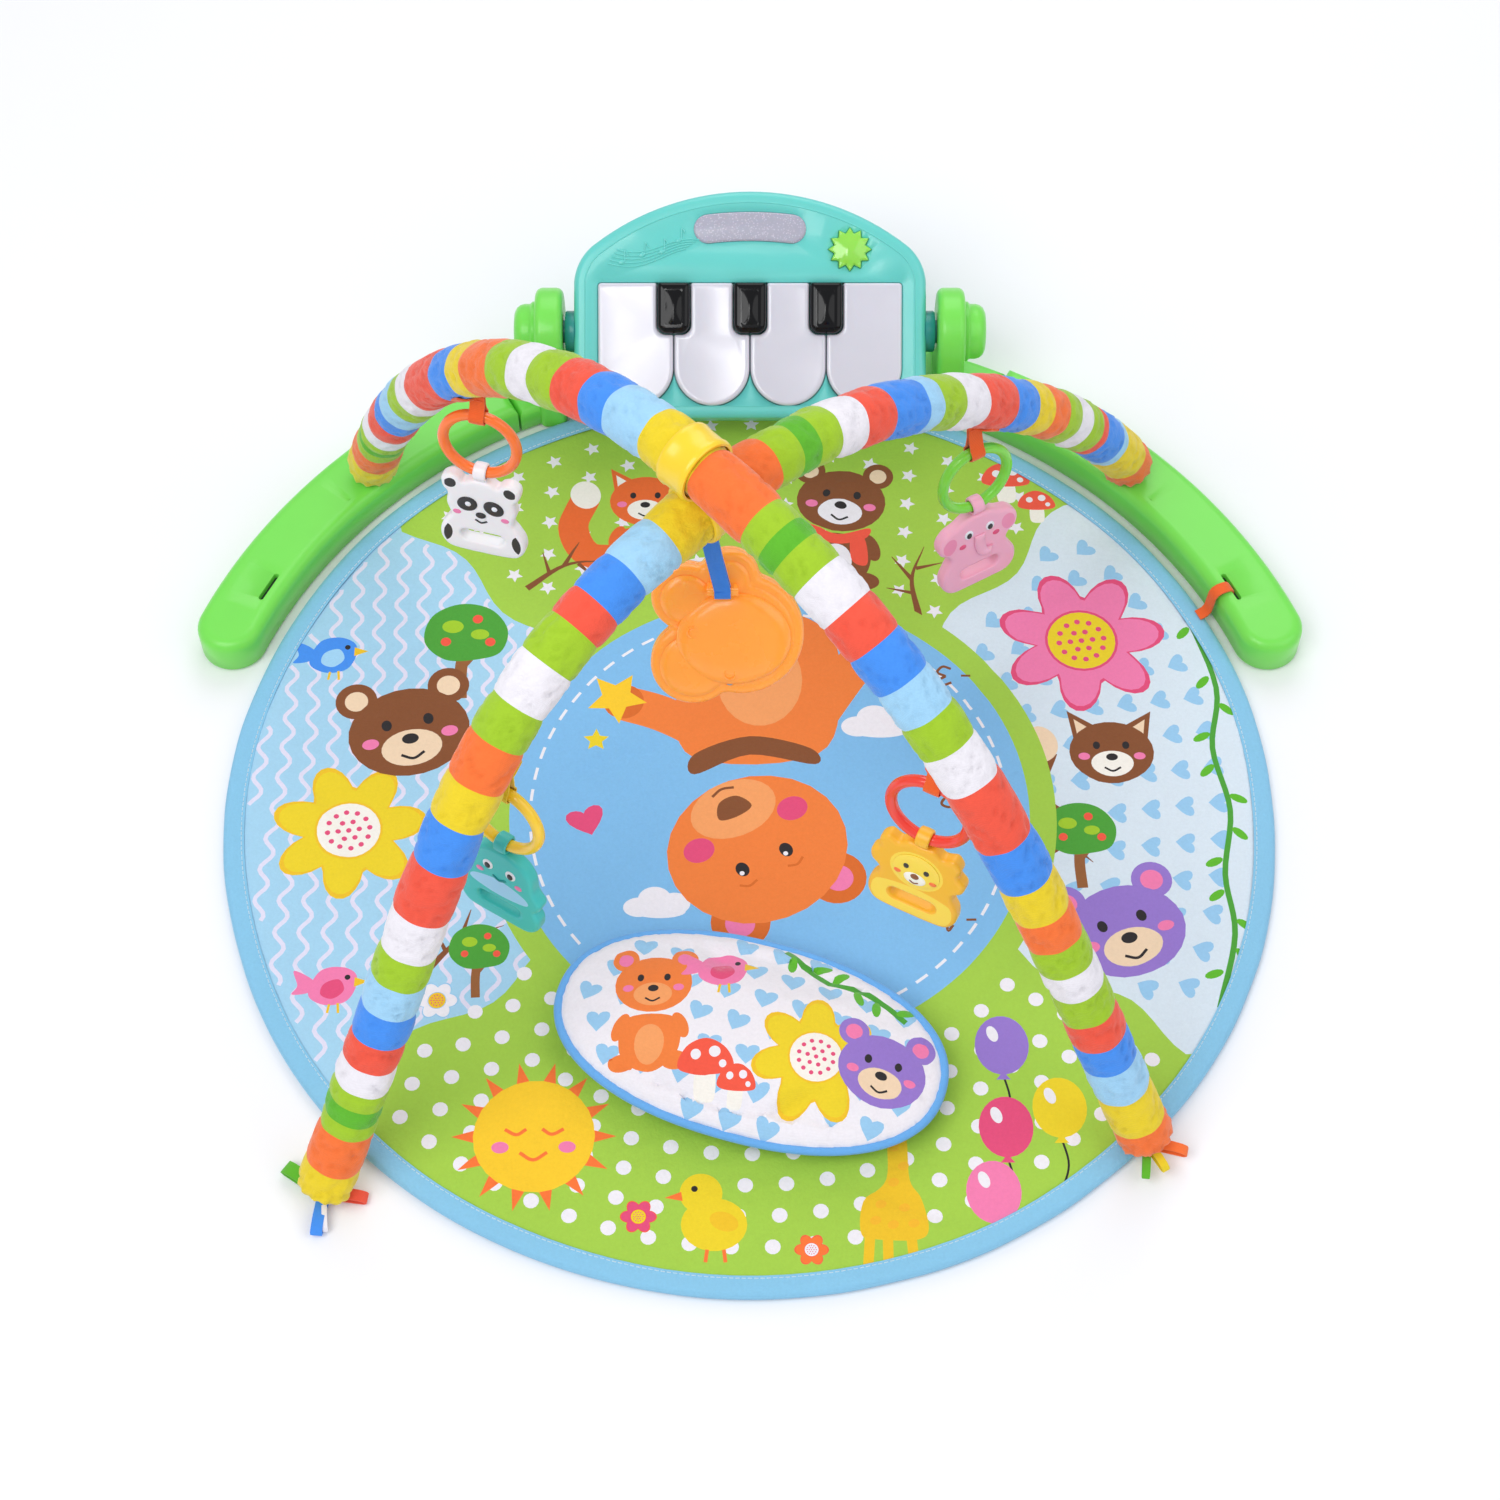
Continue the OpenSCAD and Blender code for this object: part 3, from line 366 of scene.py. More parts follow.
def sheet_mesh(outer, holes=(), spacing=None, prints=(), ground="white"):
    """Flat triangles inside a loop, split along every printed shape.

    Gives points, triangles and a colour name for each triangle.
    """
    pts, edges = [], []

    def put(loop):
        """Adds a closed loop that the triangles keep to."""
        first = len(pts)
        pts.extend(Vector((float(p[0]), float(p[1]))) for p in loop)
        edges.extend((first + i, first + (i + 1) % len(loop)) for i in range(len(loop)))

    put(outer)
    for loop in holes:
        put(loop)
    for _, loop in prints:
        put(loop)
    if spacing:
        ring = np.asarray(outer, float)
        low, high = ring.min(0), ring.max(0)
        grid = [(x + (spacing / 2 if j % 2 else 0), y)
                for j, y in enumerate(np.arange(low[1], high[1], spacing * 0.87))
                for x in np.arange(low[0], high[0], spacing)]
        keep = inside(grid, outer)
        for loop in holes:
            keep &= ~inside(grid, loop)
        pts.extend(Vector(p) for p, k in zip(grid, keep) if k)
    verts, _, tris, _, _, _ = delaunay_2d_cdt(pts, edges, [], 0, 1e-4)
    flat = np.array([tuple(v) for v in verts])
    tris = np.array([t for t in tris if len(t) == 3])
    a, b, c = flat[tris[:, 0]], flat[tris[:, 1]], flat[tris[:, 2]]
    area = (b[:, 0] - a[:, 0]) * (c[:, 1] - a[:, 1]) - (b[:, 1] - a[:, 1]) * (c[:, 0] - a[:, 0])
    mid = (a + b + c) / 3
    keep = inside(mid, outer) & (np.abs(area) > 1e-6)
    for loop in holes:
        keep &= ~inside(mid, loop)
    tris, mid, area = tris[keep], mid[keep], area[keep]
    tris[area < 0] = tris[area < 0][:, ::-1]
    names = np.array([ground] * len(tris), dtype=object)
    for colour, loop in prints:
        names[inside(mid, loop)] = colour
    return flat, tris, list(names)


def lofted(outline, profile):
    """Points and side faces through insets of one outline: profile is (inset, height) from the bottom."""
    rings = [[(x, y, z) for x, y in outline(d)] for d, z in profile]
    return [p for ring in rings for p in ring], quads(0, len(rings), len(rings[0]))


def moulded(name, outline, profile, mat, matrix=Matrix(), holes=(), depth=3.0, floor="dark",
            crown=None, spacing=None, colour=None, sharp=38.0, lip=0.5):
    """Closed solid lofted through insets of one outline.

    Holes in the top cap get rounded lips, walls and a floor at their depth; the floor is dark by default, a
    dark sheet that paints the shade inside the hole.
    crown(x, y) adds to the top cap's height; colour tints a piece whose material is printed.
    """
    verts, faces = lofted(outline, profile)
    top = profile[-1][1]
    holes = [[(p[0], p[1]) for p in hole] for hole in holes]
    lift = crown or (lambda x, y: 0.0)

    def cap(level, cut, up, grid):
        """Closes one end of the loft."""
        inset, z = level
        flat, tris, _ = sheet_mesh(outline(inset), cut, grid)
        first = len(verts)
        verts.extend((x, y, z + (lift(x, y) if up else 0.0)) for x, y in flat)
        faces.extend([int(first + t) for t in (tri if up else tri[::-1])] for tri in tris)

    cap(profile[-1], holes, True, spacing)
    cap(profile[0], (), False, None)
    for hole in holes:
        ring = np.array(hole)
        centre = ring.mean(0)
        reach = np.linalg.norm(ring - centre, axis=1).max()
        first = len(verts)
        steps = ((0, 0), (lip * 0.5, lip * 0.35), (lip, lip), (lip, depth))
        for inset, drop in steps:
            small = centre + (ring - centre) * (1 - inset / reach)
            verts.extend((x, y, top - drop + lift(x, y)) for x, y in small)
        walls = quads(first, len(steps), len(hole), flip=True)
        faces.extend(q[::-1] if turns_left(hole) else q for q in walls)
    piece = build(name, verts, faces, mat, [colour] * len(faces) if colour else None, sharp, matrix)
    weld(piece)
    if holes:
        # each hole is closed by a flat floor; the default dark one is painted shade where the hole's inside
        # lies in shadow
        piece.data.materials.append(MAT[floor])
        bm = bmesh.new()
        bm.from_mesh(piece.data)
        for hole in holes:
            loop = hole if turns_left(hole) else hole[::-1]
            base = place_in(matrix, [(x, y, top - depth + 0.05) for x, y in loop])
            bm.faces.new([bm.verts.new(v) for v in base]).material_index = 1
        bm.to_mesh(piece.data)
        bm.free()
    return piece


def weld(piece, gap=1e-6):
    """Joins points of a piece that coincide."""
    bm = bmesh.new()
    bm.from_mesh(piece.data)
    bmesh.ops.remove_doubles(bm, verts=bm.verts, dist=gap)
    bm.to_mesh(piece.data)
    bm.free()


def lathe(name, profile, mat, matrix=Matrix(), sides=48, sharp=38.0, closed=False):
    """Turned solid about local Z from (radius, height) pairs."""
    verts = [(r * cos(k * tau / sides), r * sin(k * tau / sides), z)
             for r, z in profile for k in range(sides)]
    faces = quads(0, len(profile), sides, closed)
    if not closed:
        faces += end_faces(len(profile), sides)
    return build(name, verts, faces, mat, None, sharp, matrix)


def tube(name, path, radius, mat, sides=10, closed=False, matrix=Matrix()):
    """Round bar along points in mm."""
    pts = [Vector(p) for p in path]
    verts = []
    side = None
    for i, p in enumerate(pts):
        ahead = heading(pts, i, closed)
        if side is None:
            side = ahead.orthogonal().normalized()
        side = (side - ahead * side.dot(ahead)).normalized()
        up = ahead.cross(side)
        verts.extend(tuple(p + radius * (cos(k * tau / sides) * side + sin(k * tau / sides) * up))
                     for k in range(sides))
    faces = quads(0, len(pts), sides, closed)
    if not closed:
        faces += end_faces(len(pts), sides)
    return build(name, verts, faces, mat, None, 60.0, matrix)


def band(name, path, across, width, thick, mat, matrix=Matrix(), colour=None):
    """Flat ribbon along points in mm; across is its width direction."""
    pts = [Vector(p) for p in path]
    way = Vector(across).normalized()
    verts = []
    cross = [(-0.5, -0.5), (-0.5, 0.5), (-0.25, 0.62), (0.25, 0.62), (0.5, 0.5), (0.5, -0.5),
             (0.25, -0.62), (-0.25, -0.62)]
    for i, p in enumerate(pts):
        ahead = heading(pts, i, False)
        side = (way - ahead * way.dot(ahead)).normalized()
        out = ahead.cross(side)
        verts.extend(tuple(p + side * (u * width) + out * (v * thick)) for u, v in cross)
    faces = quads(0, len(pts), len(cross), flip=True) + end_faces(len(pts), len(cross), flip=True)
    return build(name, verts, faces, mat, [colour] * len(faces) if colour else None, 50.0, matrix)


def finish_piece(piece, body, slot, *nodes):
    """Ties a piece to its body and hides the nodes that it stands for; slot is not used."""
    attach(piece, body)
    if nodes:
        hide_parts(*nodes)
    return piece


# ---- plan curves and printed motifs, in mm ----
def arc(cx, cy, r, a0, a1, n):
    """Open arc in n steps between two angles in degrees."""
    ways = (radians(a0 + (a1 - a0) * i / n) for i in range(n + 1))
    return [(cx + r * cos(a), cy + r * sin(a)) for a in ways]


def turned(loop, cx, cy, turn, scale=1.0):
    """A loop turned and scaled about the origin, then moved."""
    c, s = cos(radians(turn)) * scale, sin(radians(turn)) * scale
    return [(cx + x * c - y * s, cy + x * s + y * c) for x, y in loop]


def oval(cx, cy, rx, ry=None, turn=0.0, n=26):
    """Oval, or a circle when it has one radius."""
    ry = rx if ry is None else ry
    return turned([(rx * cos(i * tau / n), ry * sin(i * tau / n)) for i in range(n)], cx, cy, turn)


def pair(colour, x, y, rx, ry=None, turn=0.0):
    """Two printed ovals, mirrored left and right."""
    return [(colour, oval(s * x, y, rx, ry, s * turn)) for s in (-1, 1)]


def smooth(p, t):
    """Point on a smooth curve between the middle two of four points."""
    return 0.5 * ((2 * p[1]) + (p[2] - p[0]) * t + (2 * p[0] - 5 * p[1] + 4 * p[2] - p[3]) * t * t
                  + (3 * p[1] - p[0] - 3 * p[2] + p[3]) * t ** 3)


def blob(points, steps=6):
    """Smooth closed curve through points."""
    pts = [np.array(p, float) for p in points]
    out = []
    for i in range(len(pts)):
        p = [pts[(i + k) % len(pts)] for k in (-1, 0, 1, 2)]
        out += [tuple(map(float, smooth(p, j / steps))) for j in range(steps)]
    return out


def stroke(points, width, steps=6, taper=False):
    """Thick open curve through points."""
    pts = [np.array(p, float) for p in points]
    pts = [2 * pts[0] - pts[1]] + pts + [2 * pts[-1] - pts[-2]]
    mid = []
    for i in range(1, len(pts) - 2):
        mid += [smooth(pts[i - 1:i + 3], j / steps) for j in range(steps)]
    mid.append(pts[-2])
    left, right = [], []
    for i, p in enumerate(mid):
        d = mid[min(i + 1, len(mid) - 1)] - mid[max(i - 1, 0)]
        d = np.array([-d[1], d[0]]) / (np.linalg.norm(d) + 1e-9)
        w = width / 2 * ((1 - i / len(mid)) if taper else 1.0) + 0.05
        left.append(tuple(p + d * w))
        right.append(tuple(p - d * w))
    return left + right[::-1]


def star(cx, cy, r, turn=90.0):
    """Star with five points."""
    return [(cx + (r if i % 2 == 0 else r * 0.48) * cos(radians(turn + i * 36)),
             cy + (r if i % 2 == 0 else r * 0.48) * sin(radians(turn + i * 36))) for i in range(10)]


def heart(cx, cy, r, turn=0.0):
    """Heart, point down before it is turned."""
    pts = [(r * 1.05 * sin(a) ** 3, r * (0.85 * cos(a) - 0.33 * cos(2 * a) - 0.13 * cos(3 * a)))
           for a in (i * tau / 24 for i in range(24))]
    return turned(pts, cx, cy, turn)[::-1]


def petals(r, n, deep):
    """Outline of n round petals about the origin."""
    ways = [i * tau / 72 for i in range(72)]
    reach = [r * (1 - deep + deep * abs(cos(n * a / 2))) for a in ways]
    return [(d * cos(a), d * sin(a)) for d, a in zip(reach, ways)]


def moved(shapes, cx, cy, scale=1.0, turn=0.0):
    """Printed shapes drawn about the origin, put at a place on the cloth."""
    return [(colour, turned(loop, cx, cy, turn, scale)) for colour, loop in shapes]


def bird(body, wing):
    """Small bird, side on, looking right."""
    return [(body, blob([(-20, -2), (-12, 14), (4, 18), (17, 12), (19, 0), (12, -14), (-4, -18),
                         (-18, -12)])),
            (body, blob([(-16, 4), (-34, 14), (-30, 0), (-34, -8), (-20, -6)])),
            (wing, blob([(-8, 2), (4, 6), (9, -4), (0, -12), (-10, -8)])),
            ("gold", [(17, 8), (29, 4), (17, -1)]), ("ink", oval(11, 8, 2.4)),
            ("gold", stroke([(-2, -17), (-3, -25)], 2)), ("gold", stroke([(5, -16), (6, -25)], 2))]


def tree(size=1.0):
    """Round tree with fruit."""
    crown = blob([(-26, 8), (-22, 28), (-4, 38), (16, 34), (28, 18), (24, 0), (8, -6), (-12, -6)])
    return moved([("trunk", stroke([(0, -36), (-1, -14), (1, 6)], 8)),
                  ("trunk", stroke([(0, -12), (10, 2)], 4)),
                  ("leaf", crown), ("lime", oval(-8, 20, 7, 5)), ("lime", oval(10, 14, 6, 4)),
                  ("red", oval(-12, 8, 3.4)), ("red", oval(8, 26, 3.4)), ("red", oval(17, 8, 3.4))],
                 0, 0, size)


def flower(petal, edge, core, r=26, n=8, deep=0.3):
    """Flower with a darker edge to its petals and a dotted middle."""
    mid = r * 0.4
    dots = [("rose", oval(k * mid / 3 * cos(a), k * mid / 3 * sin(a), mid * 0.09, n=8))
            for k, ring in ((0.001, 1), (1, 6), (2, 12)) for a in (i * tau / ring for i in range(ring))]
    return [(edge, petals(r, n, deep)), (petal, petals(r * 0.93, n, deep)),
            (edge, oval(0, 0, mid * 1.08)), (core, oval(0, 0, mid))] + dots


def face(fur, ear, muzzle, pointed=False):
    """Head of a small animal, front on."""
    if pointed:
        ears = [(fur, [(s * 26, 30), (s * 22, 4), (s * 4, 16)]) for s in (-1, 1)] + \
               [(ear, [(s * 22, 24), (s * 20, 10), (s * 11, 16)]) for s in (-1, 1)]
    else:
        ears = pair(fur, 20, 20.0, 9) + pair(ear, 20, 20.0, 5)
    return ears + [(fur, oval(0, 0, 26, 22)), (muzzle, oval(0, -8, 13, 9)),
                   ("ink", oval(0, -3.5, 3.6, 2.6))] + pair("ink", 9, 5, 2.2, 2.8) + \
        [("ink", stroke([(-5, -11), (0, -13.5), (5, -11)], 1.2))] + pair("pink", 17, -3, 3.6, 2.6)


def sitting(fur, ear, muzzle, scarf=None, pointed=False):
    """Small animal sitting, front on."""
    body = [(fur, blob([(-16, -26), (-20, -48), (-8, -60), (8, -60), (20, -48), (16, -26)])),
            (muzzle, oval(0, -44, 10, 13))] + pair(fur, 18, -56, 9, 6) + pair(fur, 20, -32, 5, 10, 24)
    wrap = [(scarf, blob([(-18, -18), (0, -24), (18, -18), (16, -26), (0, -31), (-16, -26)])),
            (scarf, blob([(8, -24), (16, -26), (19, -44), (10, -42)]))] if scarf else []
    return body + face(fur, ear, muzzle, pointed) + wrap


def twig():
    """Bare branch with three shoots."""
    shoots = (([(-30, -20), (-4, 0), (26, 6)], 5), ([(-4, 0), (6, 22)], 3.6),
              ([(-14, -8), (-20, 12)], 3.2), ([(6, 2), (20, -12)], 3.2))
    return [("brown", stroke(points, width, taper=True)) for points, width in shoots]


def tail(fur, tip):
    """Bushy tail that curls up on the left."""
    return [(fur, stroke([(-12, -50), (-40, -48), (-52, -24), (-44, 2)], 22)),
            (tip, oval(-44, 6, 11, 13, 20))]


def big_bear_head():
    """Head of the mat's big bear, face up in its own frame."""
    return pair("bear_dark", 44, 54, 24) + pair("pink", 45, 55, 12) + [
        ("bear", oval(0, 0, 75, 68)), ("bear_light", oval(0, -42, 37, 26)),
        ("brown", blob([(-15, -38), (0, -34), (15, -38), (8, -52), (-8, -52)]))] + \
        pair("ink", 20, 12, 5.4, 6.6) + [("white", oval(-18, 15, 2)), ("white", oval(22, 15, 2))] + \
        pair("rose", 43, -20, 13, 11) + [
            ("bear_dark", stroke([(-29, 24), (-22, 28), (-14, 26)], 2)),
            ("bear_dark", stroke([(14, 26), (22, 28), (29, 24)], 2)),
            ("brown", stroke([(-10, -60), (0, -63), (10, -60)], 2.2))]


def mushroom(cap="red"):
    """Spotted mushroom."""
    return [("cream", blob([(-6, -14), (-5, 2), (5, 2), (6, -14), (0, -17)])),
            (cap, blob([(-16, 0), (-12, 12), (0, 18), (12, 12), (16, 0), (0, -3)])),
            ("white", oval(-6, 8, 3)), ("white", oval(5, 10, 3.4)), ("white", oval(10, 3, 2.2))]


def balloon(colour):
    """Balloon on a short string."""
    return [("ink", stroke([(0, -18), (3, -34), (-2, -50)], 1.1)), (colour, oval(0, 0, 15, 18)),
            (colour, [(-4, -21), (4, -21), (0, -16)]), ("white", oval(-5, 7, 3, 5, 20))]


def cloud(s=1.0):
    """Flat white cloud."""
    puffs = ((-18, -2, 14, 10), (-4, 6, 15, 13), (14, 2, 14, 11), (0, -6, 24, 7))
    return moved([("white", oval(*puff)) for puff in puffs], 0, 0, s)


def giraffe():
    """Young giraffe looking left."""
    spots = [(-2, 30), (4, 16), (-3, 4), (-12, -12), (4, -14), (-16, -24), (10, -26), (-4, -27)]
    return [("gold", blob([(-24, -10), (-26, -34), (-14, -38), (12, -38), (20, -30), (16, -8),
                           (8, 6), (6, 40), (-6, 42), (-8, 6)])),
            ("gold", oval(-4, 46, 15, 10, 18)), ("gold", stroke([(2, 52), (4, 64)], 3)),
            ("gold", stroke([(-6, 54), (-6, 66)], 3)), ("ink", oval(-9, 49, 2)),
            ("brown", oval(-16, 42, 2)), ("gold", stroke([(-20, -34), (-22, -60)], 7)),
            ("gold", stroke([(-8, -36), (-8, -60)], 7)), ("gold", stroke([(8, -36), (10, -60)], 7))] + \
        [("lion_dark", oval(x, y, 4, 3.2, 20, 10)) for x, y in spots]


def sun_face():
    """Sleeping sun with pointed rays."""
    rays = [("orange", [(30 * cos(a - 0.12), 30 * sin(a - 0.12)), (42 * cos(a), 42 * sin(a)),
                        (30 * cos(a + 0.12), 30 * sin(a + 0.12))]) for a in (i * tau / 14 for i in range(14))]
    lines = ([(-15, 4), (-9, 1), (-4, 4)], [(4, 4), (9, 1), (15, 4)], [(-7, -9), (0, -13), (7, -9)])
    return rays + [("sun", oval(0, 0, 31))] + [("orange", stroke(line, 1.8)) for line in lines] + \
        pair("pink", 17, -6, 4.4, 3.2)


def chick():
    """Chick looking left."""
    return [("yellow", oval(0, -8, 20, 17)), ("yellow", oval(-8, 12, 13)), ("gold", oval(6, -6, 9, 6, -20)),
            ("orange", [(-20, 13), (-30, 9), (-19, 7)]), ("ink", oval(-12, 15, 2)),
            ("orange", stroke([(-4, -24), (-5, -32)], 2.2)), ("orange", stroke([(6, -24), (7, -32)], 2.2))]


def vine(points, gap=24.0, side=9.0):
    """Stem through points with leaves on both sides."""
    out = [("leaf", stroke(points, 4.6))]
    for i in range(len(points) - 1):
        (x0, y0), (x1, y1) = points[i], points[i + 1]
        steps = max(1, int(hypot(x1 - x0, y1 - y0) / gap))
        way = degrees(atan2(y1 - y0, x1 - x0))
        for j in range(steps):
            t = (j + 0.5) / steps
            s = 1 if (i + j) % 2 else -1
            a = radians(way + 60 * s)
            x, y = x0 + (x1 - x0) * t + side * cos(a), y0 + (y1 - y0) * t + side * sin(a)
            out.append(("dark_green", oval(x, y, 8, 3.6, way + 55 * s, 12)))
    return out


def digit(n):
    """Plain scale number, about 15 mm high."""
    strokes = {1: [[(-3, 4), (1, 8), (1, -8)]],
               2: [[(-5, 5), (0, 8), (5, 4), (-5, -8)], [(-5, -7.4), (6, -7.4)]],
               3: [[(-5, 6), (1, 8), (4, 4), (-1, 0.4)], [(-1, 0.4), (5, -3), (1, -8), (-5, -6)]]}
    return [("brown", stroke(s, 2.0)) for s in strokes[n]]


# ---- floor mat ----
MAT_R, MAT_T = 420.0, 7.0
HUB = (16, -10)
HUB_R = 213.0


def border(angle, seed):
    """Wavy seam between two sectors, from the middle to the rim."""
    out = []
    a = radians(angle)
    for r in np.arange(0, MAT_R - 0.6, 12):
        off = 9 * sin(r / 21 + seed) * min(1.0, r / 200)
        out.append((HUB[0] * (1 - r / MAT_R) + r * cos(a) - off * sin(a),
                    HUB[1] * (1 - r / MAT_R) + r * sin(a) + off * cos(a)))
    return out


SEAMS = {137: border(137, 0.5), 47: border(47, 2.0), -33: border(-33, 4.0), 219.5: border(219.5, 1.0)}


def sector(colour, a0, a1, seam0, seam1):
    """Printed sector between two seams."""
    return (colour, SEAMS[seam0] + arc(0, 0, MAT_R - 0.6, a0, a1, 40) + SEAMS[seam1][::-1])


def waves():
    """White wavy lines down the left sector."""
    out = []
    shore = sector("sky", 137, 219.5, 137, 219.5)[1]
    for x in range(-408, -120, 19):
        pts = [(x + 4.5 * sin(y / 4.6) + 5 * sin(y / 60 + x), y) for y in np.arange(-300, 320, 3.6)]
        keep = inside(pts, shore) & (np.hypot(*np.transpose(pts)) < MAT_R - 9)
        run = []
        for q, k in zip(pts + [(0, 0)], list(keep) + [False]):
            if k:
                run.append(q)
            elif run:
                if len(run) > 6:
                    out.append(("lilac", stroke(run, 3.6, steps=1)))
                run = []
    return out


def scattered(shape, step, inner, outer, a0, a1, shift=0.0):
    """Shapes on staggered arcs over a sector."""
    out = []
    for i, r in enumerate(np.arange(inner, outer, step)):
        turn = degrees(step * 1.25 / r)
        for a in np.arange(a0 + (turn / 2 if i % 2 else 0) + shift, a1, turn):
            out.append(shape(r * cos(radians(a)), r * sin(radians(a)), float(a)))
    return out


def mat_prints():
    """Everything printed on the mat, from the ground up."""
    p = [sector("sky", 137, 219.5, 137, 219.5), sector("mat_green", 47, 137, 47, 137),
         sector("snow", -33, 47, -33, 47), sector("mat_green", 219.5, 327, 219.5, -33)]
    p += waves()
    p += scattered(lambda x, y, a: ("white", star(x, y, 7.5, a)), 29, 246, 412, 50, 134)
    p += scattered(lambda x, y, a: ("heart_blue", heart(x, y, 9, a - 90)), 28, 246, 412, -29, 44)
    p += scattered(lambda x, y, a: ("white", oval(x, y, 6, n=14)), 25, 240, 414, 222, 325)
    # left
    p += moved(bird("blue", "light_blue"), -353, 143, 1.0) + moved(tree(), -243, 146, 1.3)
    p += moved(flower("yellow", "gold", "cream", 64, 7, 0.42), -327, -29, 1.0, 10)
    p += moved(face("brown", "skin", "skin"), -284, 66, 1.95, 12)
    p += moved(bird("pink", "rose"), -328, -171, 0.95)
    p += moved(twig(), -226, -130, 1.2, 10) + moved(tree(0.8), -216, -150, 1.1)
    p += moved(flower("white", "heart_blue", "gold", 17, 6), -246, -184)
    p += moved(mushroom("rose"), -268, -112, 1.1)
    # top
    p += moved(tail("fox", "cream") + sitting("fox", "cream", "cream", pointed=True), -92, 306, 1.2)
    p += moved(sitting("brown", "skin", "white", "red"), 80, 306, 1.5, -6)
    p += moved(twig(), -156, 236, 1.2) + moved(twig(), 142, 226, 1.2, 60)
    for x, y, size in ((226, 326, 1.3), (252, 300, 1.0), (-236, 296, 1.0)):
        p += moved(mushroom(), x, y, size)
    # right
    p += moved(flower("pink", "rose", "yellow", 72, 7, 0.44), 282, 158, 1.0, 8)
    p += moved(tail("brown", "skin") + face("brown", "skin", "cream", pointed=True), 300, 46, 1.35)
    p += moved(twig(), 256, -46, 1.1) + moved(tree(0.9), 268, -44, 1.2)
    p += moved(face("purple", "pink", "skin"), 300, -122, 1.85, 18)
    p += vine([(374, 186), (392, 110), (384, 50), (394, -10), (384, -70), (386, -125), (368, -190)],
              22, 11)
    # bottom
    p += moved(sun_face(), -165, -300, 1.5) + moved(chick(), -27, -362, 1.25)
    p += moved(giraffe(), 112, -342, 1.1)
    for colour, x, y in (("purple", 196, -223), ("rose", 196, -292), ("yellow", 238, -276),
                         ("pink", 184, -345)):
        p += moved(balloon(colour), x, y, 1.4)
    p += moved(flower("rose", "red", "yellow", 14, 6), -84, -366)
    p += moved(flower("orange", "red", "white", 13, 6), 46, -392)
    # round middle
    p += [("mat_green", oval(*HUB, HUB_R + 22, n=120)), ("disc", oval(*HUB, HUB_R, n=120))]
    for a in range(0, 360, 6):
        dash = arc(*HUB, HUB_R - 16, a, a + 3.4, 3) + arc(*HUB, HUB_R - 18.5, a + 3.4, a, 3)
        p.append(("white", dash))
    p += moved(cloud(), 108, 73, 1.0) + moved(cloud(), -73, -99, 0.9) + moved(cloud(0.7), 20, 186, 1.0)
    p += [("rose", heart(-134, -19, 15, 20)), ("yellow", star(-128, 58, 11)), ("pink", heart(128, -96, 9))]
    for n, (x, y) in enumerate(((159, -112), (163, 2), (164, 122)), 1):
        p += moved(digit(n), x, y, 1.15, 180)
        p += [("brown", stroke([(x + 14, y), (x + 22, y)], 2.0))]
    p += [("bear", blob([(-46, 40), (-62, 100), (-50, 160), (10, 190), (66, 168), (76, 108),
                         (56, 44)])),
          ("bear_light", oval(8, 118, 36, 46)),
          ("bear", stroke([(-40, 66), (-74, 84), (-104, 94)], 34)), ("bear_dark", oval(-106, 96, 17)),
          ("bear", stroke([(52, 74), (80, 120), (102, 152)], 34)), ("bear_dark", oval(104, 156, 17)),
          ("sun", star(-112, 100, 26, 60))]
    p += moved(big_bear_head(), 6, -46, 1.0, -152)
    p += [("brown", blob([(-46, 24), (0, 44), (54, 34), (50, 50), (0, 62), (-46, 44)]))]
    return p


# (from, to, height in mm) of each long soft crease in the laid mat
CREASES = [((-182, 9), (-42, 63), -1.7), ((-60, -110), (-150, -250), 0.9), ((50, -330), (200, -380), -1.5),
           ((280, -210), (372, -70), 1.3), ((-390, 60), (-300, -120), 1.2), ((-110, 200), (-190, 340), -1.2),
           ((160, 50), (270, 240), -1.1), ((-60, -330), (80, -300), 1.2), ((30, 220), (120, 390), 1.0),
           ((210, -20), (350, 40), -1.0), ((-350, -180), (-230, -60), -1.1),
           ((-260, -290), (-120, -380), 1.1)]


def rim_wave(x, y):
    """How far the soft mat's edge wanders in or out."""
    a = atan2(y, x)
    r = hypot(x, y)
    share = min(1.0, max(0.0, (r - 300) / 110))
    return 2.2 * noise.noise(Vector((2.6 * cos(a), 2.6 * sin(a), 5.0))) * share


def wander(x, y):
    """A place on the true round mat, moved with its soft edge."""
    r = hypot(x, y)
    grow = 1 + rim_wave(x, y) / r if r > 1 else 1.0
    return x * grow, y * grow


def mat_height(x, y):
    """Height of the mat's top: soft swells, creases, the seam round its middle and its rim."""
    r = hypot(x, y)
    soft = 1.0 * noise.noise(Vector((x / 95, y / 95, 2.0)))
    soft += 0.6 * noise.noise(Vector((x / 34, y / 34, 7.0)))
    for (x0, y0), (x1, y1), high in CREASES:
        dx, dy = x1 - x0, y1 - y0
        size = hypot(dx, dy)
        along = ((x - x0) * dx + (y - y0) * dy) / size ** 2
        if 0 < along < 1:
            off = abs((x - x0) * dy - (y - y0) * dx) / size + 4 * sin(9 * along)
            soft += 1.5 * high * sin(pi * along) ** 0.5 * exp(-(off / 5.5) ** 2)
    seam = -1.0 * exp(-((hypot(x - HUB[0], y - HUB[1]) - HUB_R - 22) / 2.4) ** 2)
    rim = -2.6 * exp(-((MAT_R - r) / 7) ** 2)
    return MAT_T + 1.0 + soft + seam + rim


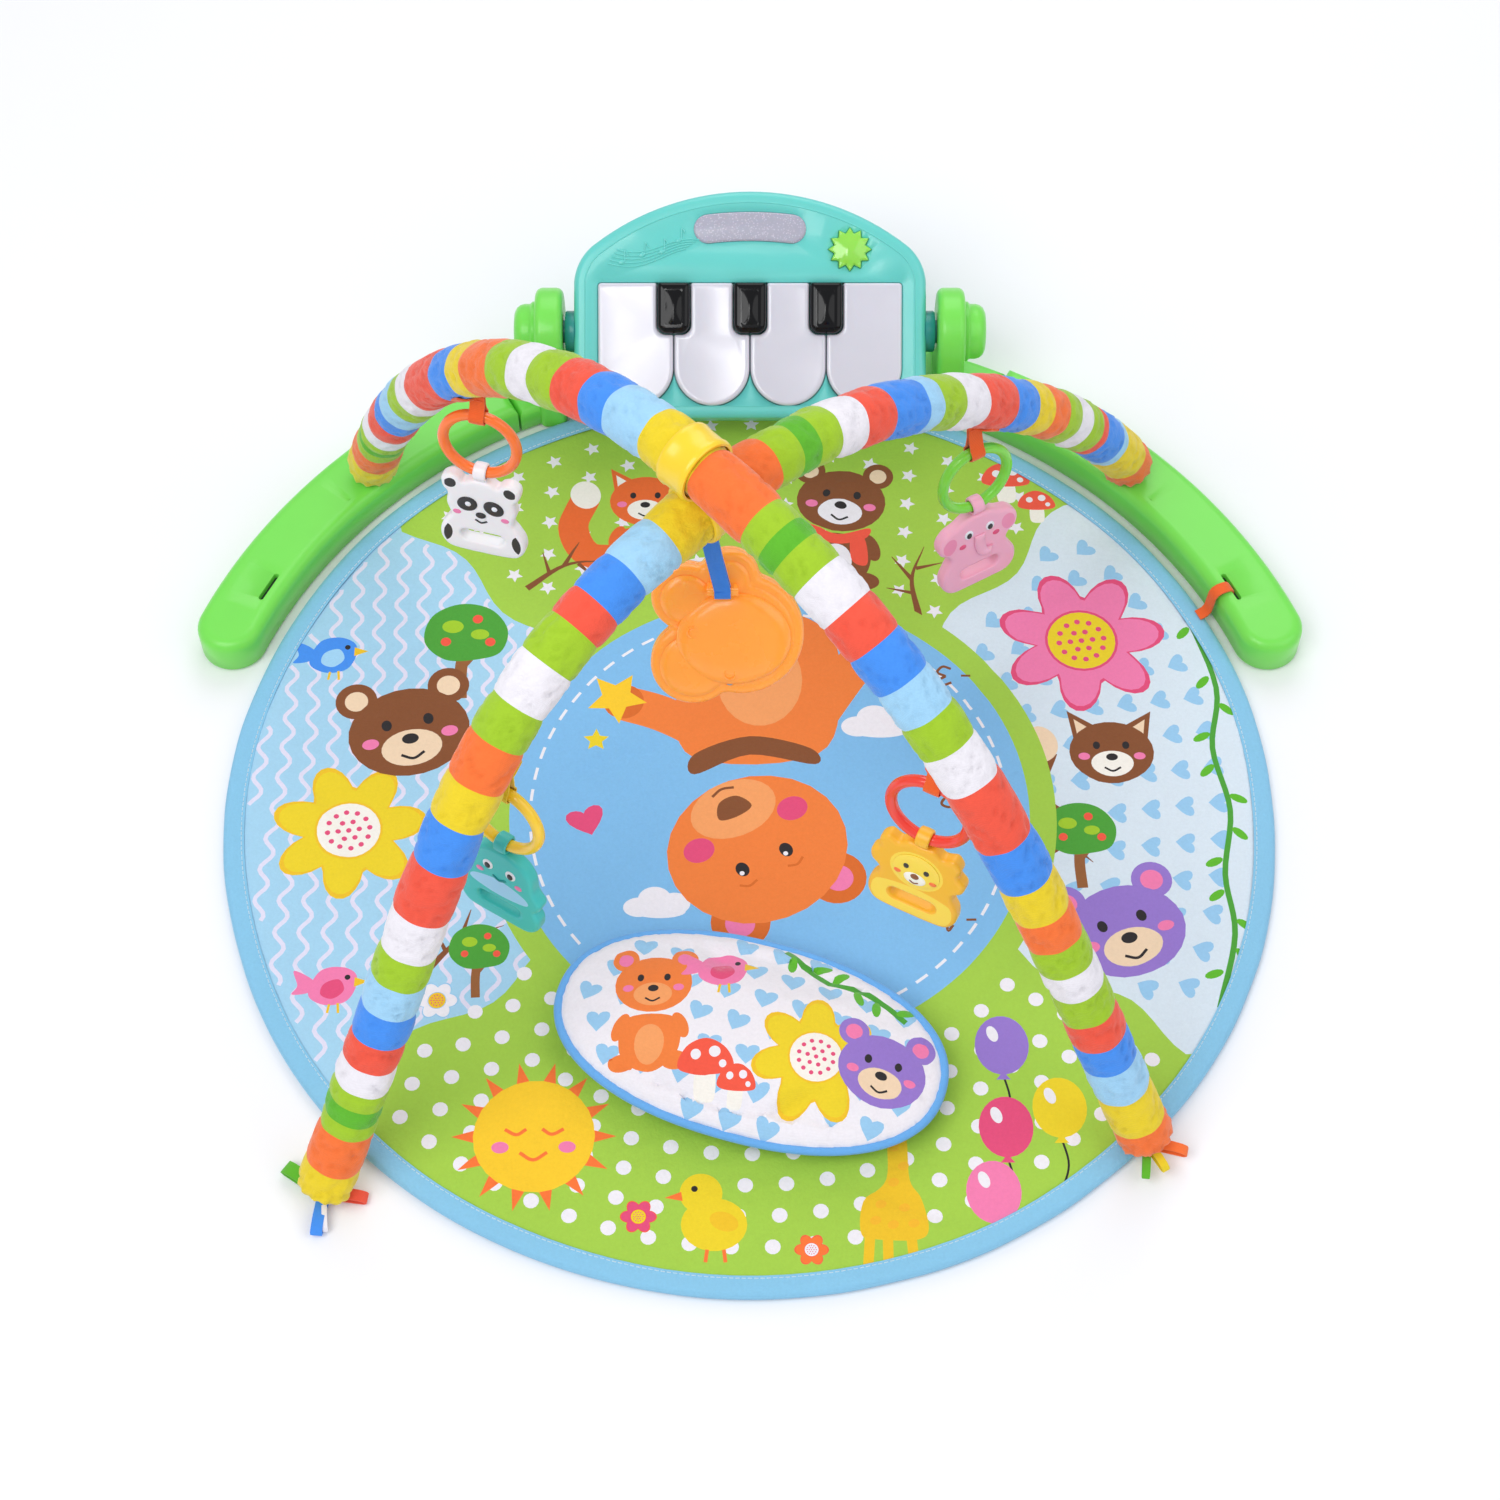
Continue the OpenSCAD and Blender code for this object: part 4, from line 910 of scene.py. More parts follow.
def make_mat():
    """Padded mat: printed top cloth, sides and plain underside."""
    rim = oval(0, 0, MAT_R - 0.2, n=240)
    flat, tris, names = sheet_mesh(rim, (), 6.5, mat_prints(), "mat_green")
    top = [(*wander(x, y), mat_height(x, y)) for x, y in flat]
    piece = build("mat_top", top, [list(map(int, t)) for t in tris], "mat", names, 60.0)
    side = [(*wander(x, y), mat_height(x, y)) for x, y in rim]
    side += [(*wander(x, y), 3.5) for x, y in rim] + [(x * 0.995, y * 0.995, 0.3) for x, y in rim]
    walls = quads(0, 3, len(rim), flip=True)
    walls.append([2 * len(rim) + k for k in range(len(rim))][::-1])
    under = build("mat_under", side, walls, "mat_back", ["white"] * len(walls), 60.0)
    whole = merge("mat_padded", [piece, under])
    weld(whole, 1e-5)
    whole.data.shade_smooth()
    finish_piece(whole, "base", "mat_fabric", "mat_pad")


def make_binding():
    """Tape folded over the mat's edge, a little puckered along its stitching."""
    n = 420
    profile = [(-7, 0.3), (-7, 1.0), (-2, 1.3), (4, 0.6), (8.6, 1.6), (10, 4.6), (8.8, 7.8), (5, 9.2),
               (0, 9.3), (-4, 9.0), (-7.5, 8.4), (-7.6, 7.6), (-4, 7.2)]
    verts = []
    for i in range(n):
        a = i * tau / n
        pucker = 0.35 * sin(i * 2.1) + 0.4 * noise.noise(Vector((30 * cos(a), 30 * sin(a), 0)))
        bulge = 0.5 * noise.noise(Vector((9 * cos(a), 9 * sin(a), 4.0)))
        for j, (d, z) in enumerate(profile):
            r = MAT_R + d + (bulge if j in (4, 5, 6) else 0)
            lift = pucker * 0.45 if 7 <= j <= 10 else 0
            verts.append((*wander(r * cos(a), r * sin(a)), max(0.1, z + lift)))
    faces = quads(0, n, len(profile), closed=True, flip=True)
    tape = build("mat_binding_tape", verts, faces, "binding", None, 60.0)
    finish_piece(tape, "base", "binding", "mat_binding")
    # each stitch is a low ridge with pointed ends
    verts, faces = [], []
    count = 560
    half = 0.34 * tau / count
    for i in range(count):
        a = i * tau / count
        first = len(verts)
        for r, h in ((-5.7, 8.7), (-5.3, 9.35), (-4.9, 8.7)):
            for t in (a - half, a + half):
                verts.append((*wander((MAT_R + r) * cos(t), (MAT_R + r) * sin(t)), h))
        for corners in ((0, 2, 3, 1), (2, 4, 5, 3), (0, 4, 2), (1, 3, 5), (0, 1, 5, 4)):
            faces.append([first + c for c in corners])
    finish_piece(build("binding_stitches", verts, faces, "thread"), "base", "binding")


# ---- legs and centre base ----
LEG_MID, LEG_W, LEG_Z0, LEG_TOP = 467.0, 56.0, 2.0, 35.0
LEG_A0, LEG_A1 = 20.0, 62.0
SLOT_A, SLOT_IN = 25.5, 14.0
DRAIN_A, DRAIN_OUT = 39.6, 449.0


def leg_plan(d):
    """Plan of the right leg, set in by d."""
    half = LEG_W / 2 - d
    root = LEG_A1 - degrees(d / LEG_MID)
    end = (LEG_MID * cos(radians(LEG_A0)), LEG_MID * sin(radians(LEG_A0)))
    return (arc(0, 0, LEG_MID + half, LEG_A0, root, 60) + arc(0, 0, LEG_MID - half, root, LEG_A0, 60)
            + arc(*end, half, LEG_A0 + 180, LEG_A0 + 360, 26)[1:-1])


def round_edge(r, z_top, steps=6, start=0.0):
    """Profile of a rounded top edge of radius r."""
    return [(start + r * (1 - cos(i * pi / 2 / steps)), z_top - r + r * sin(i * pi / 2 / steps))
            for i in range(steps + 1)]


def turned_slot(angle, radius, length, width, n=8):
    """Rounded slot square to the radius."""
    c = (radius * cos(radians(angle)), radius * sin(radians(angle)))
    way = angle + 90
    reach = (length - width) / 2
    tip = [(c[0] + s * reach * cos(radians(way)), c[1] + s * reach * sin(radians(way))) for s in (1, -1)]
    return arc(*tip[0], width / 2, way - 90, way + 90, n) + arc(*tip[1], width / 2, way + 90, way + 270, n)


def make_legs():
    """Right leg with its elastic slot and drain hole, and its mirror image."""
    a = radians(DRAIN_A)
    drain = oval(DRAIN_OUT * cos(a), DRAIN_OUT * sin(a), 2.4, n=16)
    holes = [turned_slot(SLOT_A, LEG_MID - SLOT_IN, 30, 4.6), drain]
    profile = [(0.6, LEG_Z0), (0, LEG_Z0 + 0.8)] + round_edge(9, LEG_TOP, 7) + [(11.5, LEG_TOP)]
    # the slot and the drain hole end in dark floors: painted shade for the leg's hollow inside
    right = moulded("right_leg_shell", leg_plan, profile, "green", holes=holes, depth=6.0)
    left = mirrored(right, "left_leg_shell")
    finish_piece(right, "base", "green_plastic", "right_leg")
    finish_piece(left, "base", "green_plastic", "left_leg")


def base_plan(d):
    """Plan of the centre base between the legs, set in by d."""
    half = LEG_W / 2 - d
    a0 = LEG_A1 + 0.3 + degrees(d / LEG_MID)
    return arc(0, 0, LEG_MID + half, a0, 180 - a0, 80) + arc(0, 0, LEG_MID - half, 180 - a0, a0, 80)


PIVOT = (0.0, 435.0, 84.0)
LUG_X, LUG_T, LUG_R = 164.0, 24.0, 38.0


def lug_plan(d):
    """Side view of a lug about the pivot, set in by d."""
    r = LUG_R - d
    low = -PIVOT[2] + LEG_Z0
    return arc(0, 0, r, 0, 180, 36) + [(-r - 1.5, low / 2), (-r - 3, low), (r + 3, low), (r + 1.5, low / 2)]


def make_base():
    """Centre base with its two lugs, and a stepped boss on each lug's outer face."""
    profile = [(0.6, LEG_Z0), (0, LEG_Z0 + 0.8)] + round_edge(8, 26.0, 6) + [(10, 26.0)]
    parts = [moulded("centre_base_shell", base_plan, profile, "green")]
    # a lug stands with its plan in the YZ plane and its thickness along X
    turn = Matrix(((0, 0, 1, 0), (1, 0, 0, PIVOT[1]), (0, 1, 0, PIVOT[2]), (0, 0, 0, 1)))
    edge = round_edge(6, LUG_X + LUG_T, 5)
    lug_profile = [(d, 2 * LUG_X + LUG_T - z) for d, z in edge[::-1]] + edge
    lug = moulded("right_lug", lug_plan, lug_profile, "green", turn)
    parts += [lug, mirrored(lug, "left_lug")]
    finish_piece(merge("centre_base_shell", parts), "base", "green_plastic", "centre_base")
    boss = [(26, -0.6), (26, 3), (24.6, 4.4), (24, 5.4), (24, 10), (23, 13.6), (20.6, 16.6), (17, 18.4),
            (12, 19), (0.5, 19.2)]
    boss = [(r, LUG_X + LUG_T + x) for r, x in boss]
    cap = lathe("right_pivot_boss", boss, "green", turn, 56)
    finish_piece(cap, "base", "green_plastic", "right_pivot_cap")
    finish_piece(mirrored(cap, "left_pivot_boss"), "base", "green_plastic", "left_pivot_cap")


def make_elastic():
    """Orange loop from the mat's edge, over the leg's inner side and into its slot."""
    a = radians(SLOT_A)
    out = Vector((cos(a), sin(a), 0))
    side = Vector((-sin(a), cos(a), 0))
    path = [(424, 9.8), (430, 11), (433.4, 15), (434.2, 24), (434.8, 32), (437, 36.4), (441, 38), (446, 37.8),
            (450, 36.8), (452.4, 34), (452.8, 29)]
    pts = [out * r + Vector((0, 0, z)) for r, z in path]
    loop = band("elastic_loop", pts, side, 10, 1.5, "web_orange")
    finish_piece(loop, "base", "orange_webbing", "mat_strap")


# ---- arches ----
ARCH_A = [[(-329, 318, 41), (-322, 310, 81), (-224, 186, 462), (-38, -4, 462)],
          [(-38, -4, 462), (152, -198, 462), (216, -238, 207), (302, -308, 20)]]
ARCH_B = [[(329, 318, 41), (322, 311, 81), (152, 178, 413), (-31, -3, 413)],
          [(-31, -3, 413), (-198, -170, 413), (-209, -203, 276), (-322, -345, 13)]]
TUBE_R = 21.0
# (colour, where it ends along the tube in mm); A from its front foot, B from its back socket
BANDS_A = [("orange", 25), ("yellow", 62), ("light_blue", 96), ("blue", 123), ("red", 150), ("lime", 178),
           ("white", 203), ("lime", 229), ("orange", 256), ("yellow", 288), ("blue", 326), ("red", 378),
           ("white", 410), ("lime", 437), ("light_blue", 466), ("blue", 497), ("red", 526), ("white", 556),
           ("lime", 577), ("dark_green", 592), ("lime", 610), ("orange", 662), ("yellow", 711),
           ("light_blue", 748), ("blue", 774), ("red", 806), ("lime", 836), ("white", 866), ("lime", 896),
           ("orange", 940), ("yellow", 968), ("blue", 1002), ("red", 1062), ("white", 1090), ("lime", 1115),
           ("light_blue", 1140), ("blue", 1165), ("red", 1190), ("white", 1212), ("lime", 1225),
           ("dark_green", 1235), ("lime", 1250), ("orange", 1280), ("yellow", 1400)]
BANDS_B = [("orange", 26), ("yellow", 74), ("light_blue", 84), ("blue", 120), ("red", 132), ("lime", 156),
           ("white", 178), ("lime", 202), ("orange", 230), ("yellow", 257), ("blue", 292), ("red", 336),
           ("white", 370), ("lime", 400), ("light_blue", 418), ("blue", 458), ("red", 490), ("white", 518),
           ("lime", 540), ("dark_green", 558), ("lime", 580), ("orange", 632), ("yellow", 680),
           ("light_blue", 715), ("blue", 745), ("red", 767), ("lime", 797), ("white", 831), ("lime", 860),
           ("orange", 894), ("yellow", 926), ("blue", 962), ("red", 1006), ("white", 1040), ("lime", 1065),
           ("light_blue", 1092), ("blue", 1119), ("red", 1143), ("white", 1165), ("lime", 1180),
           ("dark_green", 1195), ("lime", 1208), ("orange", 1245), ("yellow", 1400)]


def bezier(p, t):
    """Point on a cubic curve."""
    a, b, c, d = (Vector(q) for q in p)
    return (1 - t) ** 3 * a + 3 * (1 - t) ** 2 * t * b + 3 * (1 - t) * t * t * c + t ** 3 * d


def bezier_dir(p, t):
    """Direction of a cubic curve."""
    a, b, c, d = (Vector(q) for q in p)
    return ((1 - t) ** 2 * (b - a) + 2 * (1 - t) * t * (c - b) + t * t * (d - c)).normalized()


def dense(arch, reverse=False, n=240):
    """Points close together along an arch, and how far along it each one is."""
    pts = [bezier(arch[0], i / n) for i in range(n + 1)]
    pts += [bezier(arch[1], i / n) for i in range(1, n + 1)]
    if reverse:
        pts.reverse()
    along = [0.0]
    for a, b in zip(pts, pts[1:]):
        along.append(along[-1] + (b - a).length)
    return pts, along


def make_sleeve(name, arch, bands, reverse, node, slot, seed):
    """Padded striped tube: seams at each stripe, folds where it bends and gathered hems at both ends."""
    pts, along = dense(arch, reverse)
    total = along[-1]
    stops, colours = [0.0], []
    for colour, end in bands:
        end = min(end, total)
        if end <= stops[-1]:
            continue
        start = stops[-1]
        pieces = max(2, int(round((end - start) / 3.2)))
        stops += [start + (end - start) * (i + 1) / pieces for i in range(pieces)]
        colours += [colour] * pieces
    seams = np.array([0.0] + [min(e, total) for _, e in bands])
    grid = np.array(along)
    xyz = np.array([tuple(p) for p in pts])
    where = np.stack([np.interp(stops, grid, xyz[:, k]) for k in range(3)], axis=1)
    sides = 44
    verts = []
    frame_side = None
    for i, s in enumerate(stops):
        near = [np.array([np.interp(min(max(s + h, 0), total), grid, xyz[:, k]) for k in range(3)])
                for h in (-9, 0, 9)]
        ahead = Vector(near[2] - near[0]).normalized()
        bend = Vector(near[0] + near[2] - 2 * near[1]) / 81.0
        frame_side = ahead.orthogonal() if frame_side is None else frame_side
        frame_side = (frame_side - ahead * frame_side.dot(ahead)).normalized()
        up = ahead.cross(frame_side)
        seam = float(np.min(np.abs(seams - s)))
        groove = -0.9 * exp(-(seam / 1.6) ** 2) + 0.5 * min(1.0, seam / 9)
        hem = exp(-min(s, total - s) / 10.0)
        for k in range(sides):
            t = k * tau / sides
            out = cos(t) * frame_side + sin(t) * up
            tight = max(0.0, out.dot(bend) * TUBE_R)
            wave = sin(s / 2.1 + 2.4 * noise.noise(Vector((s / 26, cos(t) * 1.3, sin(t) * 1.3 + seed))))
            fold = -(2.6 + 9 * tight) * tight * (0.5 + 0.5 * wave) * 2.2
            lump = 1.3 * noise.noise(Vector((s / 34, 1.5 * cos(t), 1.5 * sin(t) + seed)))
            ridge = abs(noise.noise(Vector((s / 17 + 1.4 * cos(t + seed), 2.3 * cos(t),
                                            2.3 * sin(t) + seed + 9))))
            crinkle = 0.6 - 2.3 * exp(-(ridge / 0.07) ** 2) * min(1.0, seam / 4)
            gather = hem * (1.5 * sin(13 * t) - 3.6 * exp(-min(s, total - s) / 3.0))
            r = TUBE_R - 0.4 + groove + max(fold, -4.5) + lump + crinkle + gather
            verts.append(tuple(Vector(where[i]) + out * r))
    faces = quads(0, len(stops), sides)
    names = [colour for colour in colours for _ in range(sides)]
    # turned-in ends
    for ring, end in ((0, 0), ((len(stops) - 1) * sides, -1)):
        centre = Vector(where[end])
        first = len(verts)
        verts += [tuple(centre + (Vector(verts[ring + k]) - centre) * 0.42) for k in range(sides)]
        hem = [[ring + k, ring + (k + 1) % sides, first + (k + 1) % sides, first + k] for k in range(sides)]
        hem.append([first + k for k in range(sides)])
        faces += hem if ring else [q[::-1] for q in hem]
        names += [colours[end]] * sides + ["white"]
    piece = build(name, verts, faces, "sleeve", names, 70.0)
    finish_piece(piece, "arches", slot, node)


def frame_at(arch, at):
    """Matrix whose Z runs along the arch at a place."""
    d = bezier_dir(arch[at[0]], at[1])
    return Matrix.Translation(bezier(arch[at[0]], at[1])) @ d.to_track_quat("Z", "Y").to_matrix().to_4x4()


def make_clip():
    """Moulded clip that holds the two tubes one above the other."""
    ring = [(22.0, -13), (23.8, -13), (24.8, -12), (25.2, -9), (24.4, -7), (24.4, 7), (25.2, 9), (24.8, 12),
            (23.8, 13), (22.0, 13)]
    parts = [lathe("clip_a", ring, "yellow", frame_at(ARCH_A, (1, 0)), closed=True),
             lathe("clip_b", ring, "yellow", frame_at(ARCH_B, (1, 0)), closed=True)]
    mid = (bezier(ARCH_A[1], 0) + bezier(ARCH_B[1], 0)) / 2
    waist = [(8, -5.5), (13.5, -5.5), (12, -3), (11, 0), (12, 3), (13.5, 5.5), (8, 5.5)]
    parts.append(lathe("clip_block", waist, "yellow", Matrix.Translation(mid), 40))
    finish_piece(merge("crossover_clip_shell", parts), "arches", "yellow_plastic", "crossover_clip")


def make_foot_ribbons():
    """Ribbon loops sewn into the gathered hems at the front feet."""
    parts = []
    # (share of the reach, height) round one loop; each foot's loops are (turn, reach, width, colour)
    fold = ((0.1, 6), (0.35, 5.4), (0.6, 6.6), (0.85, 5.6), (0.97, 3.8), (1.0, 2.0), (0.93, 0.3),
            (0.6, 0.2), (0.3, 0.2), (0.1, 0.5))
    feet = (((-322, -345, 2.6), [(146, 38, 11, "dark_green"), (-96, 34, 9, "blue"), (-84, 31, 4, "white"),
                                 (-8, 33, 9, "red")]),
            ((302, -308, 11.5), [(-96, 29, 6, "dark_green"), (-14, 31, 8, "orange"),
                                 (-60, 26, 6, "yellow")]))
    for foot, loops in feet:
        for turn, reach, width, colour in loops:
            a = radians(turn)
            way = Vector((cos(a), sin(a), 0))
            side = Vector((-sin(a), cos(a), 0))
            path = [Vector(foot) + way * u * reach + Vector((0, 0, h)) for u, h in fold]
            parts.append(band("loop", path, side, width, 0.9, "ribbon", colour=colour))
    finish_piece(merge("foot_ribbons", parts), "arches", "ribbon", "foot_tags")


# ---- hanging toys ----
LEAN, RING_R, WIRE_R = 8.0, 30.0, 4.5
# toy: (arch, (curve, place on it), strap drop in mm, turn in degrees)
HANGS = {"panda": (ARCH_A, (0, 0.60), 20, -15), "lion": (ARCH_A, (1, 0.41), 29, -27),
         "elephant": (ARCH_B, (0, 0.57), 29, 30), "whale": (ARCH_B, (1, 0.43), 42, -32)}


def hang_frame(toy):
    """Matrix of a toy's hanging point: local -Z runs down the strap."""
    arch, at, _, turn = HANGS[toy]
    d = bezier_dir(arch[at[0]], at[1])
    under = (Vector((0, 0, -1)) + d * d.z).normalized()
    top = bezier(arch[at[0]], at[1]) + under * (TUBE_R + 1)
    spin = Matrix.Rotation(radians(turn), 4, "Z") @ Matrix.Rotation(radians(-LEAN), 4, "X")
    return Matrix.Translation(top) @ spin


def under_arc(here, r, z):
    """Arc under the tube, in the tube's own frame."""
    low = here.to_3x3().inverted() @ Vector((0, 0, -1))
    mid = atan2(low.y, low.x)
    return [(r * cos(mid + t), r * sin(mid + t), z) for t in np.linspace(-0.9, 0.9, 22)]


def make_strap(toy, mat, slot):
    """Webbing under the tube and down to an eye, with two bar tacks."""
    arch, at, drop, _ = HANGS[toy]
    here = frame_at(arch, at)
    parts = [band("tab", under_arc(here, 22.2, 0), (0, 0, 1), 12.5, 1.4, mat, here)]
    hang = hang_frame(toy)
    eye = [(0, -6.4 * sin(t), -drop - 6.4 * cos(t)) for t in np.linspace(-2.5, 2.5, 16)]
    path = [(0, 1.2, 1.0), (0, 1.3, -drop * 0.4)] + eye + [(0, -1.3, -drop * 0.4), (0, -1.2, 1.0)]
    parts.append(band("drop", path, (1, 0, 0), 12, 1.1, mat, hang))
    for z in (-2.5, -drop + 8.5):
        bar = [(x, -2.2, z) for x in np.linspace(-4.6, 4.6, 8)]
        parts.append(tube("bar_tack", bar, 0.45, mat, 6, matrix=hang))
    finish_piece(merge(toy + "_webbing", parts), "arches", slot, toy + "_strap")


def make_ring(toy, mat, slot):
    """Moulded ring: slightly oval wire with a fine parting line round the outside."""
    drop = HANGS[toy][2]
    n, m = 72, 20
    verts = []
    for i in range(n):
        a = i * tau / n
        for j in range(m):
            b = j * tau / m
            r = WIRE_R * (1.0 - 0.05 * exp(-((abs(b - pi) - pi) / 0.12) ** 2))
            rad = RING_R + r * cos(b)
            verts.append((rad * sin(a), r * sin(b), -drop - RING_R + rad * cos(a)))
    wire = build(toy + "_ring_wire", verts, quads(0, n, m, closed=True), mat, None, 60.0, hang_frame(toy))
    finish_piece(wire, toy + "_ring_body", slot, toy + "_ring")


def half_outline(points):
    """Closed smooth outline from its right half, top to bottom."""
    return blob(points + [(-x, y) for x, y in points[-2:0:-1]], 5)[::-1]


def inset_by_normals(loop):
    """Outline function that moves a smooth loop in along its normals."""
    ring = np.array(loop)
    ahead = np.roll(ring, -1, axis=0) - np.roll(ring, 1, axis=0)
    normal = np.stack([-ahead[:, 1], ahead[:, 0]], axis=1)
    normal /= np.linalg.norm(normal, axis=1, keepdims=True)
    return lambda d: [tuple(p) for p in ring + normal * d]


SLOT = arc(12, -69, 6.5, -90, 90, 10) + arc(-12, -69, 6.5, 90, 270, 10)
# outline is the right half from the top; raised is (height in mm, shapes)
TOYS = {
    "panda": {
        "outline": [(0, -7), (9, -8), (14, -11), (18, -7), (25, -5), (32, -10), (32, -19), (28, -26),
                    (29, -37), (26, -49), (30, -56), (35, -66), (35, -77), (28, -86), (12, -88), (0, -88)],
        "ground": "panda",
        "prints": pair("ink", 25, -13, 5.4) + pair("ink", 31, -70, 6, 10, 10),
        "raised": [(1.2, pair("ink", 11, -33, 8.6, 7.4, -24)),
                   (1.8, [("white", oval(12, -32, 2.6)), ("white", oval(-10, -32, 2.6))]),
                   (1.6, [("ink", oval(0, -43, 4.2, 2.8))]), (0.5, pair("pink", 20, -44, 3.4, 2.4)),
                   (0.6, [("ink", stroke([(-5, -49), (0, -51.5), (5, -49)], 1.5))])]},
    "lion": {
        "outline": [(0, -7), (10, -6), (17, -11), (26, -8), (32, -15), (31, -24), (37, -31), (36, -40),
                    (30, -46), (30, -54), (35, -64), (35, -77), (28, -86), (12, -88), (0, -88)],
        "ground": "lion_dark",
        "prints": [("lion", oval(0, -34, 21, 20)),
                   ("lion", blob([(-30, -60), (0, -54), (30, -60), (33, -76), (24, -85), (-24, -85),
                                  (-33, -76)]))],
        "raised": [(1.4, [("lion", oval(0, -34, 18.5, 17.5))]), (2.4, [("cream", oval(0, -41, 9, 6.5))]),
                   (3.2, [("brown", oval(0, -37.5, 3.6, 2.6))]), (2.1, pair("ink", 8, -30, 2.3, 2.8)),
                   (1.9, pair("orange", 14, -39, 3, 2.2)),
                   (2.8, [("brown", stroke([(-4, -43), (0, -45), (4, -43)], 1.2))])]},
    "elephant": {
        "outline": [(0, -7), (11, -8), (20, -13), (30, -17), (37, -26), (36, -37), (29, -43), (27, -50),
                    (31, -58), (35, -67), (34, -79), (26, -87), (10, -88), (0, -88)],
        "ground": "elephant",
        "prints": pair("elephant_dark", 28, -30, 6.4, 9, 14),
        "raised": [(2.4, [("elephant", stroke([(0, -30), (0, -40), (3, -50), (11, -53)], 9.5))]),
                   (0.8, pair("white", 10, -25, 4, 4.6)), (1.6, pair("ink", 10, -25.5, 2.4, 3)),
                   (0.6, pair("rose", 16, -36, 3.2, 2.4))]},
    "whale": {
        "outline": [(0, -7), (10, -8), (20, -13), (27, -23), (29, -36), (32, -42), (36, -48), (34, -56),
                    (31, -60), (35, -68), (34, -79), (26, -87), (10, -88), (0, -88)],
        "ground": "teal",
        "prints": [("light_blue", blob([(-22, -46), (0, -40), (22, -46), (24, -54), (0, -58),
                                        (-24, -54)]))],
        "raised": [(0.8, pair("white", 10, -27, 4.4, 5)), (1.6, pair("ink", 10, -27.5, 2.5, 3.2)),
                   (0.6, pair("pink", 17, -37, 3.2, 2.4)),
                   (0.8, [("teal_dark", stroke([(-6, -37), (0, -40), (6, -37)], 1.6))])]},
}


def make_toy(toy, slot):
    """Soft teether: rounded plate with a hand slot, raised features and an eye for its ring."""
    spec = TOYS[toy]
    # plan in local XZ, thickness towards the front (-Y)
    stand = hang_frame(toy) @ Matrix.Translation((0, 0, -HANGS[toy][2] - 2 * RING_R)) @ \
        Matrix(((1, 0, 0, 0), (0, 0, -1, 0), (0, 1, 0, 0), (0, 0, 0, 1)))
    loop = half_outline(spec["outline"])
    outline = inset_by_normals(loop if turns_left(loop) else loop[::-1])
    half = 6.0
    edge = round_edge(3.4, half, 5)
    profile = [(d, -z) for d, z in edge[::-1]] + edge
    parts = [through_plate(toy + "_plate", outline, profile, SLOT, spec["prints"], spec["ground"], stand)]
    raised = [(colour, shape, high) for high, shapes in spec["raised"] for colour, shape in shapes]
    for colour, shape, high in raised:
        ring = shape if turns_left(shape) else shape[::-1]
        steps = [(0.0, half - 0.4), (0.0, half + high * 0.45), (0.08, half + high * 0.8), (0.25, half + high)]
        for turn in (stand, stand @ Matrix.Rotation(pi, 4, "Y")):
            parts.append(moulded("raised", scaled_to(ring), steps, "toy", turn, colour=colour, sharp=60.0))
    # eye round the ring's wire
    eye = [(5.4, -5), (6.6, -5.3), (7.6, -4.4), (7.9, 0), (7.6, 4.4), (6.6, 5.3), (5.4, 5), (5.2, 0)]
    ring_eye = lathe("eye", eye, "toy", stand @ Matrix.Rotation(pi / 2, 4, "Y"), 32, closed=True)
    tint(ring_eye, spec["ground"])
    parts.append(ring_eye)
    finish_piece(merge(toy + "_toy_body", parts), toy + "_toy", slot, toy + "_teether")


def scaled_to(ring):
    """Outline function whose inset is a share of the shape's own size."""
    pts = np.array(ring)
    centre = pts.mean(0)
    return lambda share: [tuple(p) for p in centre + (pts - centre) * (1 - share)]


def tint(piece, colour):
    """One printed colour for a whole piece."""
    layer = piece.data.color_attributes.new("print", "FLOAT_COLOR", "CORNER")
    for corner in layer.data:
        corner.color = srgb(colour)


def through_plate(name, outline, profile, hole, prints, ground, matrix):
    """Plate lofted through insets of an outline, with a rounded hole through it and prints on both faces."""
    verts, faces = lofted(outline, profile)
    colours = [ground] * len(faces)
    half = profile[-1][1]
    lip = 2.0
    small = np.array(hole)
    centre = small.mean(0)
    big = centre + (small - centre) * (1 + lip / np.abs(small - centre).max())
    for inset, z in (profile[-1], profile[0]):
        flat, tris, names = sheet_mesh(outline(inset), [[tuple(p) for p in big]], 4.0, prints, ground)
        first = len(verts)
        verts.extend((x, y, z) for x, y in flat)
        faces.extend([int(first + t) for t in (tri if z > 0 else tri[::-1])] for tri in tris)
        colours.extend(names)
    first = len(verts)
    steps = [(1.0, half), (0.45, half - 0.5), (0.12, half - 1.4), (0.0, half - 2.6)]
    steps += [(share, -z) for share, z in steps[::-1]]
    for share, z in steps:
        verts.extend((x, y, z) for x, y in small + (big - small) * share)
    walls = quads(first, len(steps), len(hole), flip=True)
    faces += [q[::-1] for q in walls]
    colours += [ground] * len(walls)
    piece = build(name, verts, faces, "toy", colours, 50.0, matrix)
    weld(piece, 1e-5)
    return piece


# ---- mirror toy ----
MIRROR_EYE = (-20, -5, 310)
MIRROR_TURN, MIRROR_EYE_Y, MIRROR_EYE_Z = 55.0, 33.0, 23.0
LOBES = [(13, -7, 47), (-22, -30, 32), (-27, 22, 26), (5, 37, 22)]
MIRROR_R, MIRROR_HALF = 30.0, 10.0
MIRROR_SCREWS = [(-26, 0), (5, -42.5)]


